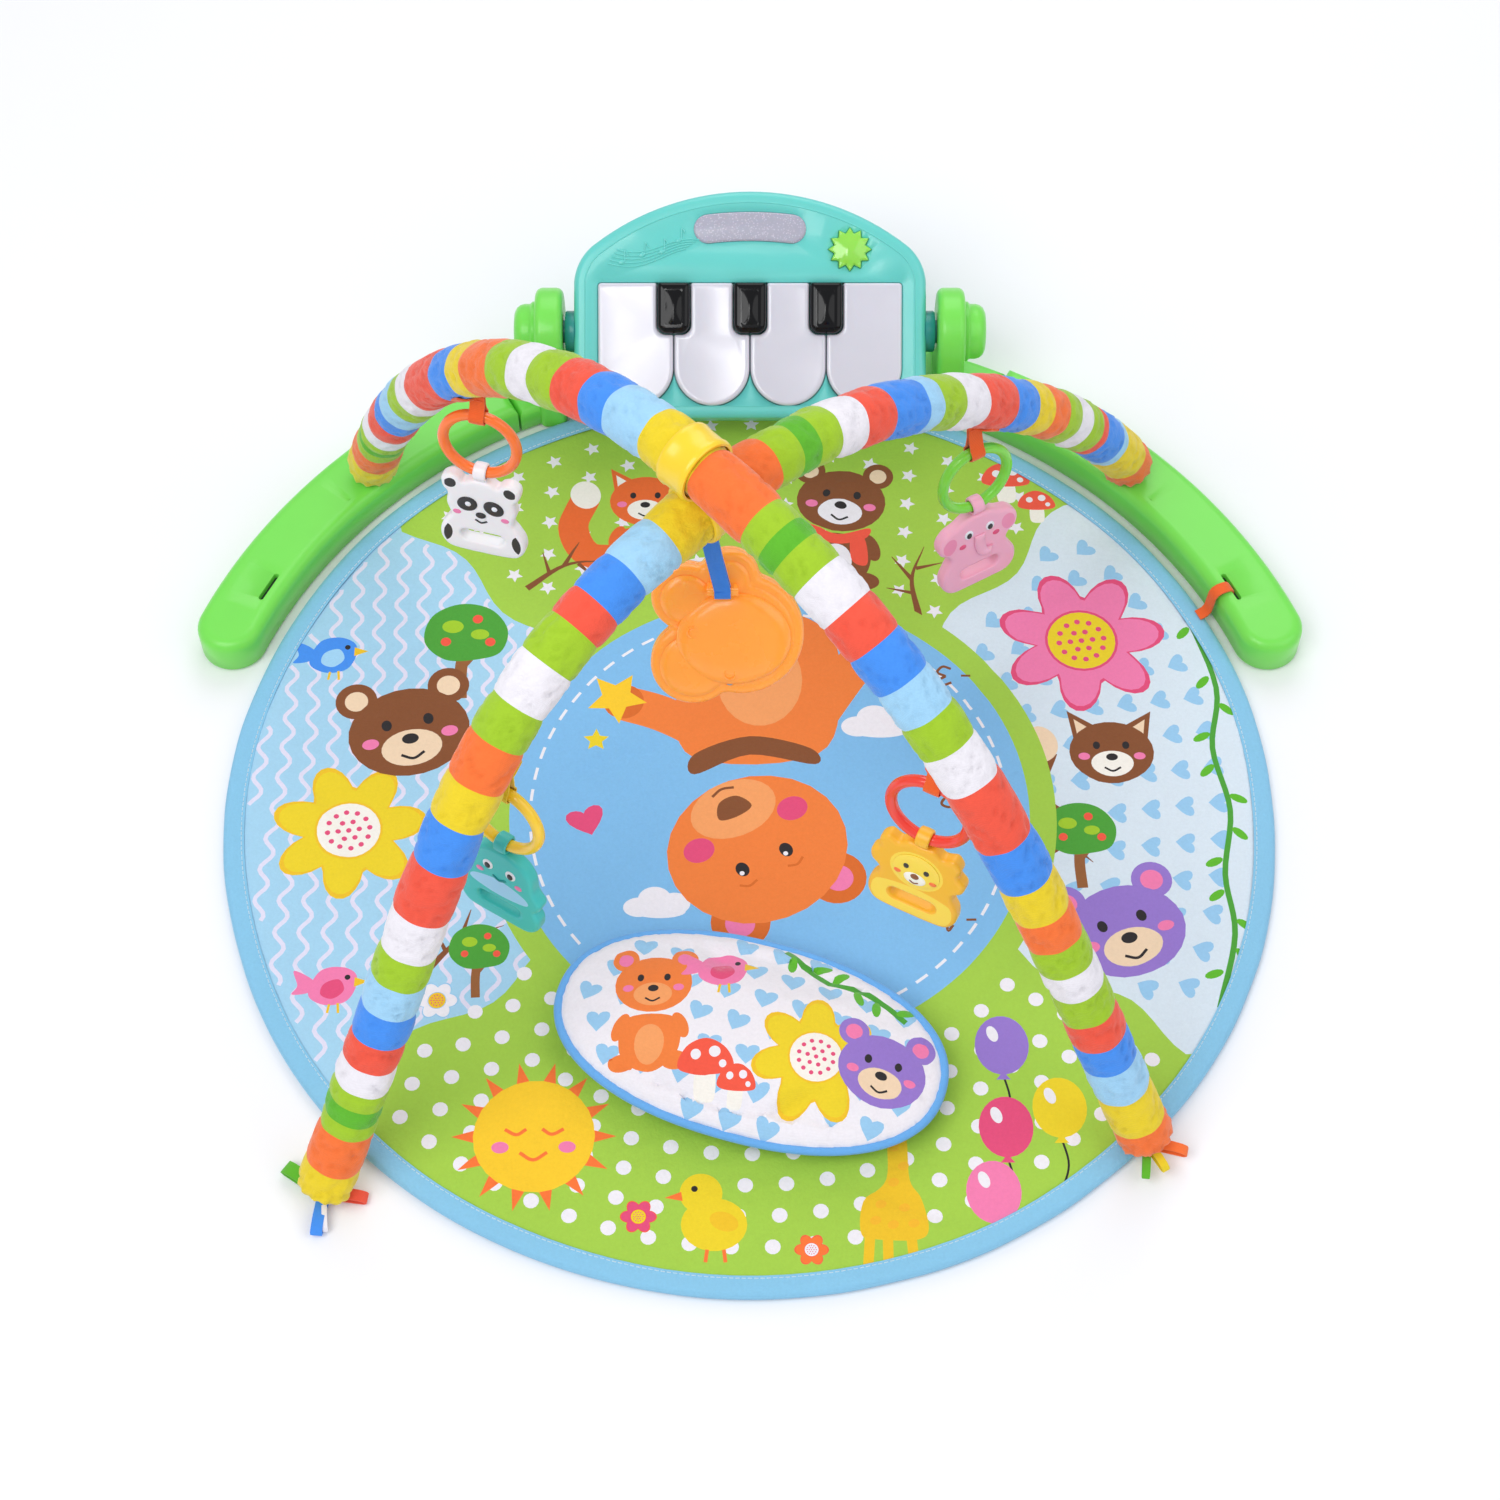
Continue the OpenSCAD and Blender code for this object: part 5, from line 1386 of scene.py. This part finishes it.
def mirror_matrix():
    """Where the mirror toy's middle hangs, turned about its eye."""
    s, c = sin(radians(MIRROR_TURN)), cos(radians(MIRROR_TURN))
    rise = MIRROR_EYE_Y * s + MIRROR_EYE_Z * c
    run = MIRROR_EYE_Y * c - MIRROR_EYE_Z * s
    return Matrix.Translation((MIRROR_EYE[0], MIRROR_EYE[1] - run, MIRROR_EYE[2] - rise)) @ \
        Matrix.Rotation(radians(MIRROR_TURN), 4, "X")


def lobe_outline(d):
    """Outline of the joined lobes from the toy's middle, set in by d."""
    out = []
    for i in range(160):
        a = i * tau / 160
        best = 0.0
        for x, y, r in LOBES:
            along = x * cos(a) + y * sin(a)
            off = abs(x * sin(a) - y * cos(a))
            if off < r - d:
                best = max(best, along + sqrt((r - d) ** 2 - off ** 2))
        out.append((best * cos(a), best * sin(a)))
    ring = np.array(out)
    for _ in range(2):
        ring = (np.roll(ring, 1, axis=0) + 2 * ring + np.roll(ring, -1, axis=0)) / 4
    return [tuple(p) for p in ring]


def lobe_dome(x, y):
    """Puffed height of the lobes, with a crease where they meet."""
    return max(high * sqrt(max(0.0, 1 - ((x - cx) ** 2 + (y - cy) ** 2) / (r - 7) ** 2))
               for (cx, cy, r), high in zip(LOBES, (4.0, 5.5, 5.5, 3.5)))


def make_mirror_toy():
    """Two-shell toy of joined lobes with a mirror in its front, hung on a blue strap."""
    m = mirror_matrix()
    shell = [(0.2, 0.0), (0, 0.6), (0, 2.4)] + round_edge(5, MIRROR_HALF - 2.2, 5) + [(7, MIRROR_HALF - 2)]
    dimples = [oval(x, y, 4.6, n=20) for x, y in MIRROR_SCREWS]
    # the dimples end in dark floors: painted shade in their hollows
    back = moulded("mirror_back_shell", lobe_outline, shell, "orange", m, holes=dimples, depth=2.2,
                   crown=lobe_dome, spacing=3.0, lip=1.2)
    parts = [back]
    for s in (-1, 1):
        post = [(s * 9, MIRROR_EYE_Y, z) for z in np.linspace(4, MIRROR_EYE_Z, 6)]
        parts.append(tube("post", post, 2.6, "orange", 14, matrix=m))
    bar = [(x, MIRROR_EYE_Y, MIRROR_EYE_Z) for x in np.linspace(-11.5, 11.5, 8)]
    parts.append(tube("bar", bar, 3.0, "orange", 18, matrix=m))
    dome = [(37.4, 8), (38, 10.4), (37.2, 12.4), (34.4, 14.4), (29, 16.4), (20, 18.1), (10, 18.9),
            (0.5, 19.1)]
    swell = m @ Matrix.Translation((8, -8, 0)) @ Matrix.Diagonal((1.12, 0.95, 1, 1))
    parts.append(lathe("main_lobe", dome, "orange", swell, 72, 60.0))
    for x, y, z in ((-22, -1, 16.2), (5, -34, 16.3)):
        cup = [(4.8, z - 2), (4.9, z + 0.5), (4.2, z + 1.1), (3.3, z + 0.4), (3.1, z - 0.4), (0.4, z - 0.4)]
        parts.append(lathe("dimple", cup, "orange", m @ Matrix.Translation((x, y, 0)), 24))
        head = [(2.9, z - 1), (2.9, z + 0.1), (2.3, z + 0.4), (0.9, z + 0.4), (0.4, z)]
        parts.append(lathe("dimple_head", head, "dark", m @ Matrix.Translation((x, y, 0)), 20))
    finish_piece(merge("mirror_back_shell", parts), "mirror_toy", "orange_plastic", "mirror_back")
    flip = m @ Matrix.Rotation(pi, 4, "Y")
    front = [(0.2, 0.15), (0, 0.8), (0, 3)] + round_edge(5, MIRROR_HALF - 0.2, 5) + [(7, MIRROR_HALF)]
    opening = oval(-LOBES[0][0], LOBES[0][1], MIRROR_R, n=64)
    bezel = moulded("mirror_front_shell", lambda d: [(-x, y) for x, y in lobe_outline(d)][::-1], front,
                    "orange", flip, holes=[opening], depth=2.4, floor="mirror", lip=1.2)
    finish_piece(bezel, "mirror_toy", "orange_plastic", "mirror_bezel")
    # blue strap from the lower tube to the toy's bar
    top = bezier(ARCH_B[1], 0)
    eye = Vector(MIRROR_EYE)
    loop = [eye + Vector((0, -4.6 * sin(t), -4.6 * cos(t))) for t in np.linspace(-2.7, 2.7, 16)]
    high = top + Vector((0, 0, -TUBE_R - 2))
    path = [high + Vector((0, 1.3, 0)), (high * 0.5 + eye * 0.5) + Vector((0, 1.2, 0))] + loop + \
           [(high * 0.5 + eye * 0.5) + Vector((0, -1.2, 0)), high + Vector((0, -1.3, 0))]
    strap = [band("drop", path, (1, 0, 0), 12, 1.2, "web_blue")]
    here = frame_at(ARCH_B, (1, 0))
    strap.append(band("tab", under_arc(here, 22.6, 0), (0, 0, 1), 12, 1.4, "web_blue", here))
    finish_piece(merge("mirror_webbing", strap), "arches", "blue_webbing", "mirror_strap")


# ---- keyboard ----
KB = Matrix.Translation(PIVOT) @ Matrix.Rotation(radians(35), 4, "X")
KB_W, KB_LOW, KB_HIGH = 308.0, -77.0, 120.0
CROWN_R, SHOULDER_R, CORNER_R = 225.0, 45.0, 18.0
FACE_Z, PART_Z = 20.0, -4.0
PITCH, KEY_LOW, KEY_HIGH, KEY_GAP = 66.5, -66.5, 40.0, 0.8
KEY_R = (PITCH - KEY_GAP) / 2
KEY_Y = KEY_LOW + KEY_R
BLACK_W, BLACK_L, BLACK_R = 28.0, 44.0, 8.0
SUN_AT, SUN_R, SUN_CORE = (87.0, 69.0), 19.0, 14.2
WINDOW_Y, WINDOW_L, WINDOW_W, WINDOW_BEND = 89.0, 98.0, 25.0, 300.0


def case_plan(d):
    """Outline of the keyboard's case, set in by d."""
    centre = KB_HIGH - CROWN_R
    sx = KB_W / 2 - SHOULDER_R
    sy = centre + sqrt((CROWN_R - SHOULDER_R) ** 2 - sx * sx)
    sa = degrees(atan2(sy - centre, sx))
    right = (arc(KB_W / 2 - CORNER_R, KB_LOW + CORNER_R, CORNER_R - d, -90, 0, 10)
             + arc(sx, sy, SHOULDER_R - d, 0, sa, 14)[1:] + arc(0, centre, CROWN_R - d, sa, 90, 16)[1:])
    return right + [(-x, y) for x, y in right[-2::-1]]


def key_x(i):
    """Middle of a white key, counted from the left."""
    return (i - 1.5) * PITCH


def white_plan(i, d):
    """Outline of a white key, cut back beside each black key."""
    r = KEY_R - d
    cut = PITCH / 2 - BLACK_W / 2 - KEY_GAP
    low = KEY_HIGH - BLACK_L - KEY_GAP
    top = KEY_HIGH - d
    right_cut, left_cut = i < 3, i > 0
    loop = arc(0, KEY_Y, r, 180, 360, 40)
    corner = BLACK_R
    if right_cut:
        loop += [(r, low - d - 2)] + arc(r - 1.5, low - d - 1.5, 1.5, 0, 90, 3)[1:]
        loop += arc(cut - d + corner, low - d + corner, corner, 270, 180, 6)
        loop += arc(cut - d - 2, top - 2, 2, 0, 90, 3)
    else:
        loop += arc(r - 3, top - 3, 3, 0, 90, 14)
    if left_cut:
        loop += arc(-cut + d + 2, top - 2, 2, 90, 180, 3)
        loop += arc(-cut + d - corner, low - d + corner, corner, 0, -90, 6)
        loop += arc(-r + 1.5, low - d - 1.5, 1.5, 90, 180, 3)[:-1] + [(-r, low - d - 2)]
    else:
        loop += arc(-r + 3, top - 3, 3, 90, 180, 14)
    return [(x + key_x(i), y) for x, y in loop]


def black_plan(i, d):
    """Outline of a black key, set in by d."""
    w, low, top = BLACK_W / 2 - d, KEY_HIGH - BLACK_L + d, KEY_HIGH - d
    c = max(BLACK_R - d, 2.0)
    loop = arc(-w + c, low + c, c, 180, 270, 8) + arc(w - c, low + c, c, 270, 360, 8) + \
        arc(w - 2, top - 2, 2, 0, 90, 4) + arc(-w + 2, top - 2, 2, 90, 180, 4)
    return [(x + key_x(i) + PITCH / 2, y) for x, y in loop]


def sun_plan(d):
    """Outline of the button with its twelve rays, set in by d."""
    out = []
    for i in range(144):
        a = i * tau / 144
        ray = abs((i % 12) - 6) / 6
        r = SUN_CORE + (SUN_R - SUN_CORE) * ray ** 1.4 - d
        out.append((SUN_AT[0] + r * cos(a), SUN_AT[1] + r * sin(a)))
    return out


def window_plan(d):
    """Outline of the bent light window, set in by d."""
    half = degrees(asin((WINDOW_L - WINDOW_W) / 2 / WINDOW_BEND))
    cy = WINDOW_Y - WINDOW_BEND
    w = WINDOW_W / 2 - d
    left = (WINDOW_BEND * cos(radians(90 + half)), cy + WINDOW_BEND * sin(radians(90 + half)))
    return (arc(0, cy, WINDOW_BEND + w, 90 - half, 90 + half, 24)
            + arc(*left, w, 90 + half, 270 + half, 16)[1:-1]
            + arc(0, cy, WINDOW_BEND - w, 90 + half, 90 - half, 24)
            + arc(-left[0], left[1], w, -90 - half, 90 - half, 16)[1:-1])


def key_well():
    """Opening for the whole row of keys, with cusps between their round ends."""
    loop = []
    r = KEY_R + KEY_GAP
    for i in range(4):
        lean = degrees(acos(min(1.0, (PITCH / 2) / r)))
        a0 = 180 if i == 0 else 180 + lean
        a1 = 360 if i == 3 else 360 - lean
        loop += arc(key_x(i), KEY_Y, r, a0, a1, 26)
    top = KEY_HIGH + KEY_GAP
    right = key_x(3) + r
    loop += arc(right - 3, top - 3, 3, 0, 90, 5) + arc(-right + 3, top - 3, 3, 90, 180, 5)
    clean = [loop[0]]
    for p in loop[1:]:
        if hypot(p[0] - clean[-1][0], p[1] - clean[-1][1]) > 0.3:
            clean.append(p)
    return clean


def staff_y(x, line):
    """Height of one of the five wavy staff lines."""
    u = (x + 124) / 70
    return 64 + 3.6 * (line - 2) * (1 - 0.45 * u) - 5 * sin(u * 4.6) + 5 * u


def make_keyboard():
    """Front case with its staff and notes, keys, button, light window and pivot hubs."""
    profile = [(0.8, PART_Z + 0.15), (0, PART_Z + 0.9)] + round_edge(6.5, FACE_Z, 7) + [(9.0, FACE_Z)]
    # the holes' default dark floors paint the shade in the gaps round the keys, the button and the window
    holes = [key_well(), sun_plan(-0.9), window_plan(-0.4)]
    parts = [moulded("keyboard_case_front", case_plan, profile, "teal", KB, holes=holes, depth=9.0, lip=0.6)]
    # raised rim just inside the rounded edge
    rim = [(x, y, FACE_Z - 0.15) for x, y in case_plan(10.0)]
    parts.append(tube("rim_line", rim, 0.7, "teal", 8, closed=True, matrix=KB))
    # raised staff lines with notes
    for k in range(5):
        line = [(x, staff_y(x, k), FACE_Z - 0.1) for x in np.linspace(-124 + 2 * k, -56 + 3 * k, 40)]
        parts.append(tube("staff", line, 0.85, "teal_deep", 8, matrix=KB))
    for x, step in ((-112, 1), (-94, 3), (-77, 2), (-62, 4)):
        y = staff_y(x, step)
        head = [(0.0, FACE_Z - 0.3), (0.0, FACE_Z + 0.7), (0.35, FACE_Z + 1.2)]
        note = scaled_to(oval(x, y, 2.8, 2.1, 20, 20))
        parts.append(moulded("note", note, head, "teal_deep", KB, sharp=60.0))
        stem = [(x + 2.5, y + t, FACE_Z + 0.2) for t in np.linspace(0.5, 11, 6)]
        flag = [(x + u, y + v, FACE_Z + 0.2) for u, v in ((2.5, 11), (4.4, 9), (5.6, 6.6))]
        for part, line in (("stem", stem), ("flag", flag)):
            parts.append(tube(part, line, 0.75, "teal_deep", 8, matrix=KB))
    finish_piece(merge("keyboard_case_front", parts), "keyboard", "teal_plastic", "keyboard_front")
    key_profile = [(0, 11), (0, 20.4), (0.25, 21.9), (0.8, 22.9), (1.7, 23.5), (2.8, 23.7), (4.2, 23.6)]
    for i in range(4):
        node = "white_key_%d" % (i + 1)
        key = moulded("white_key_top_%d" % (i + 1), lambda d: white_plan(i, d), key_profile,
                      "key_white", KB)
        finish_piece(key, node + "_body", "key_white", node)
    black_profile = [(0, 11), (0, 24.6), (0.5, 26.6), (1.5, 28.0), (3.0, 28.8), (5.0, 29.1), (7.0, 29.0)]
    for i in range(3):
        node = "black_key_%d" % (i + 1)
        mid = key_x(i) + PITCH / 2
        key = moulded("black_key_top_%d" % (i + 1), lambda d: black_plan(i, d), black_profile,
                      "key_black", KB,
                      crown=lambda x, y: (1.5 * max(0.0, 1 - ((x - mid) / 7) ** 2)
                                          * max(0.0, 1 - ((y - 18) / 15) ** 2)),
                      spacing=2.5, sharp=60.0)
        finish_piece(key, node + "_body", "key_black", node)

    def sun_dome(x, y):
        """Raised middle of the button."""
        return 2.6 * max(0.0, 1 - ((x - SUN_AT[0]) ** 2 + (y - SUN_AT[1]) ** 2) / SUN_CORE ** 2)

    def window_bulge(x, y):
        """Raised middle line of the window."""
        return 0.9 * max(0.0, 1 - ((y - WINDOW_Y + x * x / 600) / 12.5) ** 2)

    button = moulded("sun_button_cap", sun_plan, [(0, 15.2), (0, 21.4), (0.5, 22.4), (1.4, 23.1)],
                     "button", KB, crown=sun_dome, spacing=2.4, sharp=50.0)
    finish_piece(button, "sun_button_body", "button_plastic", "sun_button")
    window = moulded("light_window_lens", window_plan, [(0, 15.6), (0, 20.0), (0.5, 20.6), (1.5, 20.9)],
                     "pearl", KB, crown=window_bulge, spacing=3.0, sharp=50.0)
    finish_piece(window, "keyboard", "window_plastic", "light_window")
    side = KB_W / 2
    hub = [(16, side - 1), (18, side), (18, side + 6.6), (17, side + 8), (10, side + 8.4),
           (10, LUG_X + LUG_T - 1)]
    ends = [Matrix.Translation(PIVOT) @ Matrix.Rotation(radians(90) * s, 4, "Y") for s in (1, -1)]
    hubs = [lathe("hub", hub, "teal_deep", end) for end in ends]
    finish_piece(merge("pivot_hub_discs", hubs), "keyboard", "teal_plastic", "pivot_hubs")


# ---- pillow ----
PILLOW_AT, PILLOW_TURN = (0.0, -229.0), -17.0
PILLOW_A, PILLOW_B, PILLOW_T = 152.0, 82.0, 44.0


def pillow_rim(grow=0.0, n=96):
    """Blunt oval outline of the pillow."""
    out = []
    for i in range(n):
        c, s = cos(i * tau / n), sin(i * tau / n)
        r = (abs(c) ** 2.2 + abs(s) ** 2.2) ** (-1 / 2.2)
        out.append(((PILLOW_A + grow) * c * r, (PILLOW_B + grow) * s * r))
    return out


def pillow_rho(x, y):
    """How far out a place on the pillow is: 0 in the middle, 1 on its seam."""
    return min(1.0, (abs(x / PILLOW_A) ** 2.2 + abs(y / PILLOW_B) ** 2.2) ** (1 / 2.2))


def pillow_prints():
    """Shapes on the pillow's top, in its own frame."""
    p = []
    for j, y in enumerate(range(-72, 73, 24)):
        for x in range(-145 + (15 if j % 2 else 0), 146, 30):
            if pillow_rho(x, y) < 0.92:
                p.append(("heart_blue", heart(x, y, 9, 10 * (j % 3) - 10)))
    p += moved(sitting("bear", "pink", "bear_light"), -82, 14, 1.15, 14)
    p += moved(bird("pink", "rose"), -34, 42, 0.95, 14)
    p += moved(mushroom(), -22, -44, 1.3, 14) + moved(mushroom(), 4, -50, 0.9, 10)
    p += moved(flower("yellow", "gold", "cream", 50, 7, 0.4), 56, -12, 1.0)
    p += moved(face("purple", "pink", "skin"), 106, -4, 1.3, 6)
    p += vine([(6, 78), (40, 60), (78, 58), (112, 44)], 16, 8)
    return p


def plump(x, y):
    """Half thickness of the stuffed pillow at a place, before its cloth is inflated."""
    return PILLOW_T / 2 * (1 - pillow_rho(x, y) ** 2.6) ** 0.62


def inflated():
    """Surface of the pillow's cloth after it is blown up and settles, for looking up heights."""
    flat, tris, _ = sheet_mesh(pillow_rim(-7), (), 6.0)
    low = [(x, y, 0.86 * plump(x * 1.045, y * 1.08)) for x, y in flat]
    verts = low + [(x, y, -z) for x, y, z in low]
    k = len(low)
    faces = [list(map(int, t)) for t in tris] + [[int(k + t) for t in tri[::-1]] for tri in tris]
    puff = build("pillow_puff", verts, faces, "pillow")
    weld(puff, 1e-5)
    remesh = puff.modifiers.new("remesh", "REMESH")
    remesh.mode = "VOXEL"
    remesh.voxel_size = 0.005
    bpy.context.view_layer.objects.active = puff
    bpy.ops.object.select_all(action="DESELECT")
    puff.select_set(True)
    bpy.ops.object.modifier_apply(modifier=remesh.name)
    rest = [v.co.copy() for v in puff.data.vertices]
    cloth = puff.modifiers.new("cloth", "CLOTH")
    cloth.settings.use_pressure = True
    cloth.settings.uniform_pressure_force = 4.0
    cloth.settings.effector_weights.gravity = 0.0
    cloth.settings.tension_stiffness = 12.0
    cloth.settings.compression_stiffness = 12.0
    cloth.settings.bending_stiffness = 0.4
    scene = bpy.context.scene
    for step in range(1, 21):
        scene.frame_set(step)
    bpy.ops.object.modifier_apply(modifier=cloth.name)
    scene.frame_set(1)
    farthest = 0.010
    for v, old in zip(puff.data.vertices, rest):
        shift = v.co - old
        if shift.length > farthest:
            v.co = old + shift * (farthest / shift.length)
    bm = bmesh.new()
    bm.from_mesh(puff.data)
    surface = BVHTree.FromBMesh(bm)
    bm.free()
    bpy.data.objects.remove(puff)
    return surface


def make_pillow():
    """Stuffed oval, inflated by simulation, with its printed cloth laid on the result."""
    where = Matrix.Translation((PILLOW_AT[0], PILLOW_AT[1], MAT_T + PILLOW_T / 2 + 1.4)) @ \
        Matrix.Rotation(radians(PILLOW_TURN), 4, "Z")
    surface = inflated()

    def skin(x, y, up):
        """Height of the stuffed form over a place, with gathers fading in from its seam."""
        rho = pillow_rho(x, y)
        high = plump(x, y)
        if surface is not None and rho < 0.97:
            hit = surface.ray_cast(Vector((x, y, 80 * up)) * MM, Vector((0, 0, -up)))
            if hit[0] is not None:
                share = min(1.0, (0.97 - rho) / 0.3)
                high = high * (1 - share) + abs(hit[0].z) / MM * share
        a = atan2(y / PILLOW_B, x / PILLOW_A)
        near = max(0.0, (rho - 0.62) / 0.38)
        uneven = noise.noise(Vector((8 * cos(a), 8 * sin(a), 1.0 * up)))
        pucker = near * (1 - near ** 4) * (1.5 * sin(38 * a + 3 * sin(5 * a)) + 1.2 * uneven)
        dent = 1.6 * noise.noise(Vector((x / 46, y / 46, 3.0 * up)))
        return up * max(0.0, high + pucker + dent * (1 - rho ** 4))

    rim = pillow_rim()
    flat, tris, names = sheet_mesh(rim, (), 5.0, pillow_prints(), "white")
    verts = [(x, y, skin(x, y, 1)) for x, y in flat]
    faces = [list(map(int, t)) for t in tris]
    under, under_tris, _ = sheet_mesh(rim, (), 8.0)
    k = len(verts)
    verts += [(x, y, skin(x, y, -1)) for x, y in under]
    faces += [[int(k + t) for t in tri[::-1]] for tri in under_tris]
    names = names + ["light_blue"] * len(under_tris)
    cushion = build("pillow_cushion", verts, faces, "pillow", names, 70.0, where)
    weld(cushion, 2e-5)
    cushion.data.shade_smooth()
    floor_z = (MAT_T + 1.2) * MM
    for v in cushion.data.vertices:
        v.co.z = max(v.co.z, floor_z)
    finish_piece(cushion, "pillow_body", "pillow_fabric", "pillow")
    pipe = [(x, y, 1.0 * sin(i / 14)) for i, (x, y) in enumerate(pillow_rim(0.5, 176))]
    finish_piece(tube("pillow_piping", pipe, 3.6, "piping", 12, closed=True, matrix=where), "pillow_body",
                 "pillow_fabric")


# ---- CAD nodes that keep their own shape ----
KEPT = {
    "green": ["centre_cover", "left_leg_cover", "right_leg_cover"],
    "rubber": ["rubber_feet", "contact_mat"],
    "steel": ["cover_screws", "mirror_screws", "case_screws", "key_rod"],
    "white_plastic": ["pole_a", "pole_b"],
    "yellow": ["socket_plugs", "foot_plugs"],
    "mirror": ["mirror_disc"],
    "teal": ["keyboard_rear", "battery_door"],
    "board": ["light_board", "main_board"],
    "dark": ["speaker", "power_switch"],
    "brass": ["batteries"],
}


def dress_nodes():
    """Materials for the nodes that are shown as they are."""
    for mat, nodes in KEPT.items():
        for node in nodes:
            thing = bpy.data.objects[node]
            thing.data.materials.clear()
            thing.data.materials.append(MAT[mat])


# ---- camera, light and floor ----
def make_stage():
    """Camera, paper floor, world and lights."""
    scene = bpy.context.scene
    target = Vector((0, 0.053, 0))
    rise = radians(58)
    spot = target + 2.3325 * Vector((0, -cos(rise), sin(rise)))
    camera = bpy.data.objects.new("camera", bpy.data.cameras.new("camera"))
    scene.collection.objects.link(camera)
    camera.location = spot
    camera.rotation_euler = (target - spot).to_track_quat("-Z", "Y").to_euler()
    camera.data.angle = radians(30)
    scene.camera = camera
    floor = bpy.data.meshes.new("floor")
    floor.from_pydata([(-6, -6, 0), (6, -6, 0), (6, 6, 0), (-6, 6, 0)], [], [(0, 1, 2, 3)])
    ground = bpy.data.objects.new("floor", floor)
    ground.location.z = -0.0005
    scene.collection.objects.link(ground)
    mat, tree, shader = node_tree("floor_paper")
    place = add(tree, "ShaderNodeTexCoord").outputs["Object"]
    link(tree, varied(tree, coloured(tree, "F6F6F8"), place, 3.0, 0.01), shader.inputs["Base Color"])
    shader.inputs["Roughness"].default_value = 0.9
    floor.materials.append(mat)
    world = bpy.data.worlds.new("studio")
    scene.world = world
    world.use_nodes = True
    world.node_tree.nodes["Background"].inputs[0].default_value = (0.93, 0.95, 1.0, 1)
    world.node_tree.nodes["Background"].inputs[1].default_value = 0.6
    # (name, place, aim, size, power); the narrow strip gives the keys their highlights
    for name, at, aim, size, power in (
            ("key", (-1.3, -1.2, 2.6), (0, 0, 0.1), (1.8, 1.8), 38),
            ("fill", (1.8, -0.6, 2.0), (0, 0, 0.1), (2.2, 2.2), 15),
            ("back", (0.2, 2.0, 2.0), (0, 0, 0.1), (1.8, 1.8), 18),
            ("strip", (-0.18, -0.95, 2.1), (0, 0.43, 0.1), (0.1, 0.8), 2.2)):
        lamp = bpy.data.lights.new(name, "AREA")
        lamp.shape = "SQUARE" if size[0] == size[1] else "RECTANGLE"
        lamp.size, lamp.size_y = size
        lamp.energy = power
        light = bpy.data.objects.new(name, lamp)
        light.location = at
        light.rotation_euler = (Vector(aim) - Vector(at)).to_track_quat("-Z", "Y").to_euler()
        scene.collection.objects.link(light)
    scene.view_settings.view_transform = "Standard"
    scene.view_settings.look = "None"


make_stage()
make_mat()
make_binding()
make_legs()
make_base()
make_elastic()
make_sleeve("sleeve_a_cloth", ARCH_A, BANDS_A, True, "sleeve_a", "sleeve_a_fabric", 1.0)
make_sleeve("sleeve_b_cloth", ARCH_B, BANDS_B, False, "sleeve_b", "sleeve_b_fabric", 5.0)
make_clip()
make_foot_ribbons()
for toy, web, web_slot, ring, ring_slot, toy_slot in (
        ("panda", "web_orange", "orange_webbing", "ring_orange", "orange_plastic", "white_soft"),
        ("lion", "web_orange", "orange_webbing", "ring_red", "red_plastic", "yellow_soft"),
        ("elephant", "web_orange", "orange_webbing", "ring_lime", "lime_plastic", "pink_soft"),
        ("whale", "web_yellow", "yellow_webbing", "ring_yellow", "yellow_plastic", "teal_soft")):
    make_strap(toy, web, web_slot)
    make_ring(toy, ring, ring_slot)
    make_toy(toy, toy_slot)
make_mirror_toy()
make_keyboard()
make_pillow()
dress_nodes()
